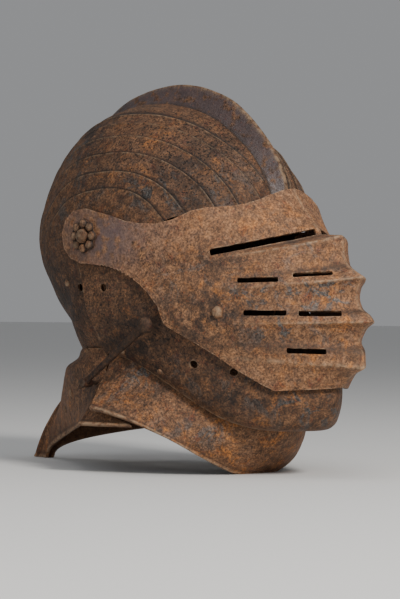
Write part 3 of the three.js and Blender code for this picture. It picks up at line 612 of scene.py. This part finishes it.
def visor_dents(p):
    deep = 1.6 * np.exp(-(((p[..., 1] + 70) / 7) ** 2 + ((p[..., 2] - 138) / 5) ** 2))
    deep += 1.1 * np.exp(-(((p[..., 1] + 123.5) / 5) ** 2 + ((p[..., 2] - 151.5) / 3.5) ** 2))
    right = p[..., 0] < 0
    return -deep * right


def build_visor():
    p, outer, inner, keep, row = build_face(
        VISOR_ROWS, VISOR_CREASES, VISOR_SIDE, 1.35, SLOTS, visor_dents)
    keep = np.minimum(keep, bore_distance(p, 0, PIVOT_Z, PIVOT_HOLE))
    for y in NICKS:
        keep = np.minimum(keep, bore_distance(p, y, np.interp(y, *ARM_EDGE), NICK_RADIUS))
    relief = relief_share(np.abs(p[..., 0]) / 100)
    # Painted highlight along the ridge tips and the median keel, painted shade in the hollows between
    # the ridges.
    crest = np.zeros(row.shape)
    groove = np.zeros(row.shape)
    for line in (2, 6, 11, 15):
        crest = np.maximum(crest, np.exp(-((row - line) / 0.16) ** 2) * relief)
    for line in (3.2, 7.5, 12.3, 16):
        groove = np.maximum(groove, np.exp(-((row - line) / 0.45) ** 2) * relief ** 0.5 * 0.8)
    masks = {
        "crest": crest + 0.5 * np.exp(-(p[..., 0] / 1.6) ** 2),
        "groove": groove,
        "patina": blob(p, -18, 178, 26, 1.5),
        "pitted": patches(p, (0.5, -60, 165, 30), (0.4, -110, 105, 30)),
        "dark": patches(p, (0.9, -92, 106, 22, 1.4, -30), (0.8, -112, 128, 14, 1.8),
                        (0.9, -100, 158, 12, 2.2), (0.5, -140, 100, 12, 2.0), (0.5, -70, 128, 14, 1.5)),
        "ochre": patches(p, (0.7, -105, 140, 22, 1.6), (0.8, -178, 125, 26, 1.6),
                         (0.5, -105, 190, 26, 1.8), (0.9, -172, 90, 20, 1.5)),
        "steel": patches(p, (1.1, -168, 138, 14, 1.4), (0.6, -150, 172, 14), (0.9, -146, 108, 14, 1.6),
                         (1.0, -128, 134, 12, 1.8), (0.7, -84, 148, 14, 1.4)),
    }
    return make_plate("visor_plate", outer, inner, keep, masks)


def build_bevor():
    p, outer, inner, keep, row = build_face(BEVOR_ROWS, (), BEVOR_SIDE, 1.5)
    for hole in BEVOR_HOLES:
        keep = np.minimum(keep, bore_distance(p, *hole))
    masks = {
        # Painted highlight along the lowest row's edge, partly rubbed wear.
        "crest": np.exp(-(row / 0.25) ** 2),
        "groove": 0 * row,
        "patina": 0 * row,
        "pitted": patches(p, (0.7, -60, 105, 34), (0.7, -15, 130, 24), (0.4, -120, 70, 24)),
        "dark": patches(p, (1.1, -36, 100, 26, 1.8, -40), (0.6, -100, 80, 16, 1.5),
                        (0.9, -112, 58, 9, 2.4)),
        "ochre": patches(p, (0.8, -52, 122, 14, 1.7, -40), (0.9, -140, 64, 9, 1.8),
                         (0.7, -120, 42, 14, 2.0)),
        "steel": patches(p, (1.0, -150, 50, 14, 1.4), (0.7, -120, 66, 14, 1.6),
                         (0.5, -70, 75, 16, 1.6)),
    }
    return make_plate("bevor_plate", outer, inner, keep, masks)


# Neck plates.

def build_neck(edges, drawn, rows, columns, outline, seed, passes=2, thin=0.0):
    """Grids of a neck plate, as in build_face, and how far down its last strip each row is."""
    columns = np.r_[-columns[:0:-1], columns]
    column, row = np.meshgrid(columns, rows)
    p = soften(neck_surface(edges, drawn, column, row), passes)
    normal = grid_normals(p, passes=1)
    calm = grid_normals(p, passes=4)
    if (normal * p * (1, 1, 0)).sum() < 0:
        normal, calm = -normal, -calm
    down = row - len(edges) + 2
    rolled = 0.9 * step_smooth(0.95, 0.972, down) * (1 - 0.6 * step_smooth(0.99, 1.0, down))
    push = 0.35 * noise(p, 22, 2, seed) + 0.1 * noise(p, 6, 2, seed + 1)
    push = push - thin * step_smooth(0.45, 0.0, row)
    outer = p + normal * (push + rolled * 0.8)[..., None]
    inner = p - calm * WALL - calm * (rolled * 0.3)[..., None]
    keep = polygon_distance(outline, p[..., 1], p[..., 2]) + 0.2 * noise(p, 5, 2, seed + 2)
    keep = np.minimum(keep, p[..., 2] - RIM_Z)
    outer[..., 2] = np.maximum(outer[..., 2], RIM_Z)
    inner[..., 2] = np.maximum(inner[..., 2], RIM_Z)
    return p, outer, inner, keep, down


def neck_masks(down, **placed):
    """Painted highlight on the rim's roll, painted shade in its groove, and the masks given by place.
    """
    return {
        "crest": np.exp(-((down - 0.98) / 0.02) ** 2),
        "groove": 0.6 * np.exp(-((down - 0.93) / 0.02) ** 2),
        "patina": 0 * down, **placed,
    }


def build_front():
    rows = np.r_[np.linspace(0, 1, 9), np.linspace(1, 2, 64)[1:]]
    columns = np.r_[np.linspace(0, 1, 116), 1 + np.arange(1, 18) * 1.5 / ARM_REACH]
    p, outer, inner, keep, down = build_neck(FRONT_EDGES, FRONT_DRAWN, rows, columns, FRONT_SIDE, 11)
    masks = neck_masks(
        down, pitted=0.4 * blob(p, -50, 45, 30),
        dark=patches(p, (0.9, -12, 80, 16), (0.9, -52, 66, 10, 3.0, -38), (0.5, -82, 46, 9, 2.2, -20)),
        ochre=patches(p, (1.1, -85, 18, 30, 1.4, -20), (0.8, -26, 56, 18), (0.9, -60, 44, 10, 1.5)),
        steel=patches(p, (1.2, -40, 78, 13, 2.0, -45), (0.7, -84, 34, 12, 1.6)))
    return make_plate("gorget_front_plate", outer, inner, keep, masks)


def build_nape():
    rows = np.r_[np.linspace(0, 1, 7), np.linspace(1, 2, 14)[1:], np.linspace(2, 3, 62)[1:]]
    columns = np.r_[np.linspace(0, 1, 130) ** 1.45, 1 + np.arange(1, 46) * 1.3 / ARM_REACH]
    p, outer, inner, keep, down = build_neck(
        NAPE_EDGES, NAPE_DRAWN, rows, columns, NAPE_SIDE, 21, 12, 1.1)
    keep = np.minimum(keep, bore_distance(p, *NAPE_HOLE) + np.where(p[..., 0] < 0, 0, FAR))
    masks = neck_masks(
        down, pitted=0.6 * blob(p, 30, 70, 30),
        dark=patches(p, (0.8, 10, 60, 22), (0.6, 40, 85, 20)),
        ochre=patches(p, (0.8, 120, 25, 40), (0.5, 50, 40, 24)),
        steel=0.2 * blob(p, 60, 60, 16))
    return make_plate("gorget_nape_plate", outer, inner, keep, masks)


# Small pieces.

def node_axis(node):
    """Outward axis of a turned CAD node, and its highest and lowest place along it, in mm."""
    co = np.array([v.co for v in frame["nodes"][node].data.vertices], float) / MM
    co[:, 1] -= PIVOT.y / MM
    co = np.unique(co.round(3), axis=0)
    middle = co.mean(0)
    values, vectors = np.linalg.eigh(np.cov((co - middle).T))
    odd = 0 if values[1] - values[0] > values[2] - values[1] else 2
    axis = vectors[:, odd]
    if axis @ (middle * (1, 1, 0)) < 0:
        axis = -axis
    along = (co - middle) @ axis
    spread = co - middle - np.outer(along, axis)
    foot = middle + spread.mean(0)
    return axis, foot, along.max(), along.min()


def full_turn(sides):
    return np.linspace(0, 2 * np.pi, sides + 1)[:-1]


def volume(points, triangles):
    q = points[triangles] - points.mean(0)
    return (q[:, 0] * np.cross(q[:, 1], q[:, 2])).sum()


def facing_out(points, triangles):
    return points, triangles if volume(points, triangles) >= 0 else triangles[:, ::-1]


def closed_rings(points):
    """Solid from rings of points, each joined to the next, with a fan over either end."""
    rows, sides = points.shape[:2]
    flat = points.reshape(-1, 3)
    r, c = np.meshgrid(np.arange(rows - 1), np.arange(sides), indexing="ij")
    a, b = (r * sides + c).ravel(), (r * sides + (c + 1) % sides).ravel()
    low = len(flat)
    last = (rows - 1) * sides
    flat = np.concatenate([flat, [points[0].mean(0), points[-1].mean(0)]])
    s = np.arange(sides)
    after = (s + 1) % sides
    return facing_out(flat, np.concatenate([
        np.stack([a, b, b + sides], 1), np.stack([a, b + sides, a + sides], 1),
        np.stack([np.full(sides, low), after, s], 1),
        np.stack([np.full(sides, low + 1), last + s, last + after], 1),
    ]))


def turned(profile, foot, axis, sides, rough, seed):
    """Turned body: profile is radius and height along the axis from foot, closed at both ends."""
    axis = axis / np.linalg.norm(axis)
    u = np.cross(axis, (0.0, 0.0, 1.0))
    u = u / np.linalg.norm(u)
    v = np.cross(axis, u)
    turn = full_turn(sides)
    radius, height = np.array(profile, float).T
    ring = np.cos(turn)[:, None] * u + np.sin(turn)[:, None] * v
    points = foot + radius[:, None, None] * ring + height[:, None, None] * axis
    away = points - (foot + height[:, None, None] * axis)
    points = points + away * (rough * noise(points, 2.2, 2, seed))[..., None]
    points = points + axis * (rough * 1.2 * noise(points + 40, 2.6, 2, seed))[..., None]
    return closed_rings(points)


def dome(head, rise, shank, grip, foot):
    """Rivet profile from its inner head to the top of its dome."""
    low, high = -grip - 1.3, -grip - 0.3
    inner = [(0.2, low), (foot, low), (foot, high), (shank, high), (shank, 0.3)]
    turns = np.linspace(0, math.pi / 2 * 0.97, 9)
    return inner + [(head * math.cos(t), 0.3 + rise * math.sin(t)) for t in turns]


def build_rivet(node, head, rise, shank, rough, seed, skin=None):
    """Domed rivet on the axis of its CAD node, its head on the skin where one is given."""
    axis, foot, top, bottom = node_axis(node)
    seat = foot + axis * (top - 0.3 - rise)
    if skin is not None:
        apart = skin - foot
        along = apart @ axis
        aside = np.linalg.norm(apart - along[:, None] * axis, axis=1)
        aside = np.where(np.abs(along - (top - rise)) < 25, aside, np.inf)
        seat = foot + axis * (along[np.argmin(aside)] - 0.35)
    grip = top - bottom - rise - 1.6
    profile = dome(head, rise, shank, grip, shank + 0.7)
    points, triangles = turned(profile, seat, axis, 28, rough, seed)
    # Painted highlight on the top of the dome, partly rubbed wear.
    masks = {"crest": step_smooth(0.2, 1.0, ((points - seat) @ axis) / rise)}
    return make_object(node + "_body", points, triangles, masks)


def build_rosette(node, side):
    """Washer of eight round petals, each a low dome, round the pivot rivet."""
    petals, size = 8, 9.3
    x0 = side * (VISOR_HALF_WIDTH + 0.3)
    radii = np.r_[3.4, np.linspace(3.6, 13.2, 26), 13.2]
    radius, angle = np.meshgrid(radii, full_turn(160), indexing="ij")
    phase = angle * petals / 2
    reach = 13.0 - 1.7 * np.sin(phase) ** 2
    radius = np.minimum(radius, reach)
    u, v = radius * np.cos(angle), radius * np.sin(angle)
    nearest = np.round(angle / (2 * np.pi) * petals) / petals * 2 * np.pi
    away = np.hypot(u - size * np.cos(nearest), v - size * np.sin(nearest)) / 3.55
    height = 1.5 + 2.1 * np.maximum(0, 1 - away ** 2.6) ** 0.55
    height = np.where(radius >= reach - 1e-6, 1.5, height)
    height[0], height[-1] = 0, 0
    grit = noise(np.stack([u, v, height + 30 * (side + 2)], -1), 2.4, 2, 31)
    height = height + 0.25 * grit * (height > 0.1)
    points = np.stack([x0 + side * height, u, PIVOT_Z + v], -1)
    rows, sides = points.shape[:2]
    r, c = np.meshgrid(np.arange(rows), np.arange(sides), indexing="ij")
    a = (r * sides + c).ravel()
    b = (r * sides + (c + 1) % sides).ravel()
    d = ((r + 1) % rows * sides + (c + 1) % sides).ravel()
    e = ((r + 1) % rows * sides + c).ravel()
    triangles = np.concatenate([np.stack([a, b, d], 1), np.stack([a, d, e], 1)])
    flat, triangles = facing_out(points.reshape(-1, 3), triangles)
    height = height.ravel()
    # Painted highlight on the petal tops and painted shade between the petals.
    masks = {"crest": step_smooth(2.6, 3.9, height),
             "groove": 1.3 * step_smooth(2.9, 1.7, height) * (height > 0.1)}
    return make_object(node + "_body", flat, triangles, masks)


def build_latch():
    """Tapered bar with a hub at its lower end and a worn round knob at its upper end."""
    eye, knob = np.array([-98.8, 1.5, 67.7]), np.array([-98.8, -61.0, 112.0])
    knob_radius, knob_thickness = 6.1, 4.5
    run = knob - eye
    length = np.linalg.norm(run)
    run /= length
    side = np.array([-1.0, 0, 0])
    across = np.cross(side, run)
    stations = np.linspace(-7.5, length + 5.9, 110)
    knob_at = (stations - length) / knob_radius
    wide = np.interp(stations, [-7.5, -6, -3, 1, 8, length - 30, length - 12, length - 6],
                     [0.5, 1.4, 2.4, 3.0, 2.1, 2.7, 3.5, 4.0])
    thick = np.interp(stations, [-7.5, -5, 2, 20, length - 6], [0.4, 1.2, 1.7, 1.9, 2.4])
    ball = np.sqrt(np.maximum(0, 1 - knob_at ** 2))
    on_knob, before = stations > length - 6, stations < length
    wide_knob = np.maximum(knob_radius * ball, np.where(before, 4.0, 0.15))
    thick_knob = np.maximum(knob_thickness * ball, np.where(before, 2.4, 0.1))
    wide = np.where(on_knob, wide_knob, wide)
    thick = np.where(on_knob, thick_knob, thick)
    turn = full_turn(36)
    c, s = np.cos(turn), np.sin(turn)
    c = np.sign(c) * np.abs(c) ** 0.75
    s = np.sign(s) * np.abs(s) ** 0.75
    spine = eye + stations[:, None, None] * run
    points = (spine + (wide[:, None] * c)[..., None] * across
              + (thick[:, None] * s)[..., None] * side)
    away = points - spine
    points = points + away * (0.09 * noise(points, 3.5, 3, 41))[..., None]
    flat, triangles = closed_rings(points)
    hub_profile = [(2.2, 0), (3.2, 0.2), (3.4, 1), (3.4, 8.2), (2.0, 8.4)]
    hub, hub_triangles = turned(hub_profile, np.array([-92.2, 1.5, 67.7]), side, 28, 0.03, 42)
    triangles = np.concatenate([triangles, hub_triangles + len(flat)])
    flat = np.concatenate([flat, hub])
    # Faint painted highlight on the bar's outer face.
    masks = {"crest": np.clip((flat - eye) @ side / 4, 0, 1) ** 2 * 0.12}
    return make_object("latch_arm_body", flat, triangles, masks)


# Materials.

class Nodes:
    """Adds shader nodes one at a time. Each call returns the socket that it makes."""

    def __init__(self, name):
        self.material = bpy.data.materials.new(name)
        self.material.use_nodes = True
        self.tree = self.material.node_tree
        self.tree.nodes.clear()
        output = self.new("OutputMaterial")
        self.shader = self.new("BsdfPrincipled")
        self.put(output.inputs[0], self.shader.outputs[0])
        place = self.new("TexCoord")
        scale = self.new("Mapping")
        scale.inputs["Scale"].default_value = (1 / MM,) * 3
        self.put(scale.inputs["Vector"], place.outputs["Object"])
        self.place = scale.outputs[0]

    def new(self, kind):
        return self.tree.nodes.new("ShaderNode" + kind)

    def put(self, socket, value):
        if isinstance(value, bpy.types.NodeSocket):
            self.tree.links.new(value, socket)
        elif isinstance(value, tuple) and len(value) == 3 and socket.type == "RGBA":
            socket.default_value = (*value, 1)
        else:
            socket.default_value = value

    def noise(self, size, detail=3.0, rough=0.55, shift=0.0, warp=0.0):
        move = self.new("Mapping")
        move.inputs["Location"].default_value = (shift, shift * 1.7, -shift)
        self.put(move.inputs["Vector"], self.place)
        node = self.new("TexNoise")
        self.put(node.inputs["Vector"], move.outputs[0])
        node.inputs["Scale"].default_value = 1 / size
        node.inputs["Detail"].default_value = detail
        node.inputs["Roughness"].default_value = rough
        node.inputs["Distortion"].default_value = warp
        return node.outputs["Fac"]

    def ramp(self, value, low, high, to_low=0.0, to_high=1.0):
        node = self.new("MapRange")
        node.interpolation_type = "SMOOTHSTEP"
        self.put(node.inputs["Value"], value)
        limits = {"From Min": low, "From Max": high, "To Min": to_low, "To Max": to_high}
        for socket, number in limits.items():
            node.inputs[socket].default_value = number
        return node.outputs["Result"]

    def maths(self, operation, a, b, clamp=False):
        node = self.new("Math")
        node.operation = operation
        node.use_clamp = clamp
        self.put(node.inputs[0], a)
        self.put(node.inputs[1], b)
        return node.outputs[0]

    def mix(self, share, a, b, blend="MIX"):
        node = self.new("Mix")
        node.data_type = "RGBA"
        node.blend_type = blend
        self.put(node.inputs[0], share)
        self.put(node.inputs[6], a)
        self.put(node.inputs[7], b)
        return node.outputs[2]

    def attribute(self, name):
        node = self.new("Attribute")
        node.attribute_name = name
        return node.outputs["Fac"]


def colour(red, green, blue):
    """Linear colour from 0 to 255 display values."""
    def linear(v):
        v /= 255
        return v / 12.92 if v <= 0.04045 else ((v + 0.055) / 1.055) ** 2.4
    return linear(red), linear(green), linear(blue)


BROWN = colour(84, 57, 41)
TAN = colour(126, 93, 67)
DEEP = colour(42, 28, 21)
BLACK = colour(16, 12, 10)
# Dark colour for the dark patches and for painted shade in grooves.
DARK_AND_SHADE = colour(38, 31, 28)
OCHRE = colour(146, 96, 52)
ORANGE = colour(160, 82, 34)
RED = colour(86, 36, 22)
STEEL = colour(80, 78, 78)
PURPLE = colour(84, 73, 76)
# Light colour for rubbed crests and edges, and for painted highlights.
BRIGHT = colour(170, 144, 116)
LINING = colour(70, 44, 30)
# What the fine grain and the broader clouds do to the colour, from their lows to their highs.
GRAIN_TINTS = ((0.26, 0.24, 0.22), (0.98, 0.95, 0.9))
CLOUD_TINTS = ((0.7, 0.68, 0.66), (1.12, 1.1, 1.06))


def rust(name, pits, ochre, seed, shade=0.5, steel=0.3, masked=True, tone=1.0):
    """Old rust on plate: brown to tan ground, ochre bloom, bare grey patches, black pits."""
    n = Nodes(name)

    def mask(key):
        return n.attribute(key) if masked else 0.0

    def times(a, b, clamp=False):
        return n.maths("MULTIPLY", a, b, clamp)

    def blot(size, detail, roughness, shift, low, high, warp=0.0):
        return n.ramp(n.noise(size, detail, roughness, seed + shift, warp), low, high)

    ground = blot(38, 5, 0.62, 3, 0.38, 0.62, 0.4)
    mottle = blot(6.5, 4, 0.65, 9, 0.34, 0.68)
    base = n.mix(times(n.maths("ADD", ground, mottle), 0.5 + 0.4 * shade), DEEP, BROWN)
    base = n.mix(times(n.maths("ADD", mottle, shade), 0.55), base, TAN)
    bloom = blot(15, 7, 0.74, 21, 0.5, 0.66, 0.5)
    bloom = times(bloom, n.maths("ADD", mask("ochre"), 0.7 * ochre), True)
    base = n.mix(bloom, base, OCHRE)
    base = n.mix(times(blot(9, 4, 0.6, 33, 0.55, 0.72), 0.55), base, RED)
    bare = blot(14, 7, 0.72, 47, 0.5, 0.6, 0.8)
    bare = times(bare, n.maths("ADD", mask("steel"), 0.5 * steel), True)
    base = n.mix(bare, base, STEEL)
    patina = times(mask("patina"), blot(8, 3, 0.5, 51, 0.3, 0.55), True)
    base = n.mix(times(patina, 0.8), base, PURPLE)
    gloom = times(mask("dark"), blot(9, 6, 0.7, 60, 0.34, 0.58, 0.5), True)
    base = n.mix(times(gloom, 0.82), base, DARK_AND_SHADE)

    grain = n.noise(1.5, 4, 0.7, seed + 70)
    calm = n.maths("SUBTRACT", 1.0, times(patina, 0.8), True)
    base = n.mix(times(calm, 0.85), base, n.mix(n.ramp(grain, 0.36, 0.64), *GRAIN_TINTS), "OVERLAY")
    cloud = blot(3.2, 5, 0.72, 110, 0.42, 0.58, 0.6)
    base = n.mix(calm, base, n.mix(cloud, *CLOUD_TINTS), "MULTIPLY")
    speck = times(blot(2.6, 3, 0.6, 80, 0.6, 0.72), 0.15 + 0.35 * ochre)
    base = n.mix(speck, base, ORANGE)
    spot = blot(1.9, 3, 0.65, 90, 0.56, 0.64)
    clusters = blot(10, 3, 0.6, 95, 0.42, 0.6)
    deep = n.maths("ADD", times(mask("pitted"), 1.1), times(clusters, pits))
    pit = times(times(spot, deep, True), calm)
    base = n.mix(times(pit, 0.9), base, BLACK)
    # Painted shade: grooves beside ridges and between petals are darkened.
    groove = times(mask("groove"), n.ramp(grain, 0.2, 0.6, 0.5, 1.0), True)
    base = n.mix(times(groove, 0.85), base, DARK_AND_SHADE)
    # Painted highlight: crests of ridges, domes and rims are lightened, partly as rubbed bare metal.
    worn_and_highlit = times(n.attribute("crest"), blot(5, 4, 0.6, 99, 0.35, 0.62), True)
    base = n.mix(times(worn_and_highlit, 0.7), base, BRIGHT)
    if masked:
        # Plate edges lightened, partly as rubbed bare metal and partly as painted highlight.
        edge = times(n.attribute("edge"), blot(7, 3, 0.6, 15, 0.45, 0.62), True)
        base = n.mix(times(edge, 0.6), base, BRIGHT)
        base = n.mix(times(n.attribute("lining"), 0.55), base, LINING)
    base = n.mix(1.0, base, (tone, tone, tone), "MULTIPLY")
    n.put(n.shader.inputs["Base Color"], base)

    smooth = n.maths("MAXIMUM", patina, times(bare, 0.7))
    rough = n.maths("SUBTRACT", n.ramp(grain, 0.3, 0.7, 0.62, 0.84), times(smooth, 0.34))
    n.put(n.shader.inputs["Roughness"], rough)
    metal = times(n.maths("ADD", bare, times(worn_and_highlit, 0.5)), 0.35, True)
    n.put(n.shader.inputs["Metallic"], metal)
    n.shader.inputs["Specular IOR Level"].default_value = 0.4

    height = n.maths("ADD", times(grain, 0.5), times(n.noise(4.5, 4, 0.6, seed + 5), 0.9))
    height = n.maths("SUBTRACT", height, times(pit, 0.75))
    bump = n.new("Bump")
    bump.inputs["Strength"].default_value = 0.75
    bump.inputs["Distance"].default_value = 0.9 * MM
    n.put(bump.inputs["Height"], height)
    n.put(n.shader.inputs["Normal"], bump.outputs[0])
    return n.material


def dress(piece, node, body, material):
    piece.data.materials.append(material)
    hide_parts(node)
    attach(piece, body)


# The helmet.

SKULL_RUST = rust("skull_rust", shade=0.42, pits=0.4, ochre=0.25, seed=1, tone=0.68)
VISOR_RUST = rust("visor_rust", shade=0.8, pits=0.3, ochre=0.45, seed=200, tone=1.08)
BEVOR_RUST = rust("bevor_rust", shade=0.4, pits=0.4, ochre=0.3, seed=400, tone=0.7)
FRONT_RUST = rust("gorget_front_rust", shade=0.6, pits=0.3, ochre=0.6, steel=0.25, seed=600)
NAPE_RUST = rust("gorget_nape_rust", pits=0.4, ochre=0.5, steel=0.1, seed=800)
SMALL_RUST = rust("rivet_rust", pits=0.3, ochre=0.3, masked=False, seed=1000, tone=0.85)
LATCH_RUST = rust("latch_rust", shade=0.1, pits=0.35, ochre=0.1, steel=0.25, masked=False, seed=1200,
                  tone=0.34)
PIVOT_RUST = rust("pivot_rust", shade=0.3, pits=0.4, ochre=0.3, masked=False, seed=1600, tone=0.6)
ROSETTE_RUST = rust("rosette_rust", shade=0.45, pits=0.3, ochre=0.2, steel=0.35, seed=1400, tone=0.72)

PLATES = (
    (build_skull, "skull", "skull_body", SKULL_RUST),
    (build_visor, "visor", "visor_body", VISOR_RUST),
    (build_bevor, "bevor", "bevor_body", BEVOR_RUST),
    (build_front, "gorget_front", "bevor_body", FRONT_RUST),
    (build_nape, "gorget_nape", "skull_body", NAPE_RUST),
)
for build, node, body, material in PLATES:
    dress(build(), node, body, material)
dress(build_latch(), "latch_arm", "latch_body", LATCH_RUST)

# Head radius, rise, shank radius, body, roughness and the plate that the head sits on.
RIVET_SEED = 50
RIVET_SIZES = {
    "visor_stud": (4.6, 3.4, 2.0, "visor_body", 0.16, "visor_plate"),
    "skull_rivet": (3.0, 1.6, 1.5, "skull_body", 0.08, "skull_plate"),
    "collar_rivet_rear": (2.6, 1.3, 1.4, "bevor_body", 0.08, "bevor_plate"),
    "collar_rivet_front": (2.6, 1.3, 1.4, "bevor_body", 0.08, "bevor_plate"),
    "neck_rivet_side": (2.6, 1.3, 1.4, "skull_body", 0.08, "gorget_nape_plate"),
    "neck_rivet_rear": (2.6, 1.3, 1.4, "skull_body", 0.08, "gorget_nape_plate"),
    "nape_rivet_upper": (3.0, 1.5, 1.4, "skull_body", 0.08, "gorget_nape_plate"),
    "nape_rivet_lower": (3.0, 1.5, 1.4, "skull_body", 0.08, "gorget_nape_plate"),
    "pivot_rivet": (5.6, 4.2, 3.0, "skull_body", 0.08, None),
}
for number, (stem, (head, rise, shank, body, rough, under)) in enumerate(RIVET_SIZES.items()):
    for side in ("right", "left"):
        node = f"{stem}_{side}"
        if node in frame["nodes"]:
            seed = RIVET_SEED + number
            piece = build_rivet(node, head, rise, shank, rough, seed, SKINS.get(under))
            dress(piece, node, body, SMALL_RUST if under else PIVOT_RUST)
piece = build_rivet("latch_rivet", 3.0, 1.4, 1.5, 0.08, 70)
dress(piece, "latch_rivet", "skull_body", LATCH_RUST)
for side, word in ((-1, "right"), (1, "left")):
    node = f"rosette_{word}"
    dress(build_rosette(node, side), node, "visor_body", ROSETTE_RUST)


# Stage, camera and lights.

def build_stage():
    """Pale floor and a plain sky."""
    size = 30
    mesh = bpy.data.meshes.new("floor")
    corners = [(-size, -size, 0), (size, -size, 0), (size, size, 0), (-size, size, 0)]
    mesh.from_pydata(corners, [], [(0, 1, 2, 3)])
    material = bpy.data.materials.new("pale_floor")
    material.use_nodes = True
    shader = material.node_tree.nodes["Principled BSDF"]
    shader.inputs["Base Color"].default_value = (0.74, 0.74, 0.73, 1)
    shader.inputs["Roughness"].default_value = 0.9
    shader.inputs["Specular IOR Level"].default_value = 0.1
    mesh.materials.append(material)
    floor = add_object("floor", mesh)

    world = bpy.data.worlds.new("studio")
    world.use_nodes = True
    sky = world.node_tree.nodes["Background"]
    sky.inputs["Color"].default_value = (0.72, 0.73, 0.75, 1)
    sky.inputs["Strength"].default_value = 0.4
    bpy.context.scene.world = world


PHOTO_WIDTH = 400
FOCAL = 2112
CAMERA_PLACE = (-1226.0, -1130.5, 117.7)


def build_camera():
    """The photo's camera: its width and focal length in pixels, its place in millimetres."""
    forward = Vector((0.74303, 0.66920, 0.00891)).normalized()
    right = Vector((0.66913, -0.74314, 0.0))
    pitch = math.radians(-0.731)
    right = Matrix.Rotation(pitch, 3, "X") @ right
    right = (right - forward * right.dot(forward)).normalized()
    up = right.cross(forward)
    data = bpy.data.cameras.new("camera")
    data.sensor_fit = "HORIZONTAL"
    data.sensor_width = 36
    data.lens = FOCAL / PHOTO_WIDTH * 36
    data.shift_y = -0.5 / PHOTO_WIDTH
    data.clip_end = 100
    camera = add_object("camera", data)
    place = Vector(CAMERA_PLACE) * MM + Vector((0, PIVOT.y, 0))
    axes = Matrix((right, up, -forward)).transposed().to_4x4()
    camera.matrix_world = Matrix.Translation(place) @ axes
    bpy.context.scene.camera = camera


# What the lights point at.
AIM = Vector((0, 0, 0.14))


def build_light(name, place, power, size, warmth=(1, 1, 1)):
    data = bpy.data.lights.new(name, "AREA")
    data.energy = power
    data.size = size
    data.color = warmth
    light = add_object(name, data)
    light.location = place
    light.rotation_euler = (AIM - Vector(place)).to_track_quat("-Z", "Y").to_euler()


build_stage()
build_camera()
build_light("key", (-0.5, -1.75, 1.35), 44, 0.5, (1, 0.96, 0.91))
build_light("fill", (-1.9, -0.5, 0.9), 6, 1.2, (0.95, 0.98, 1))
build_light("top", (-0.35, -0.3, 2.0), 6, 1.0)
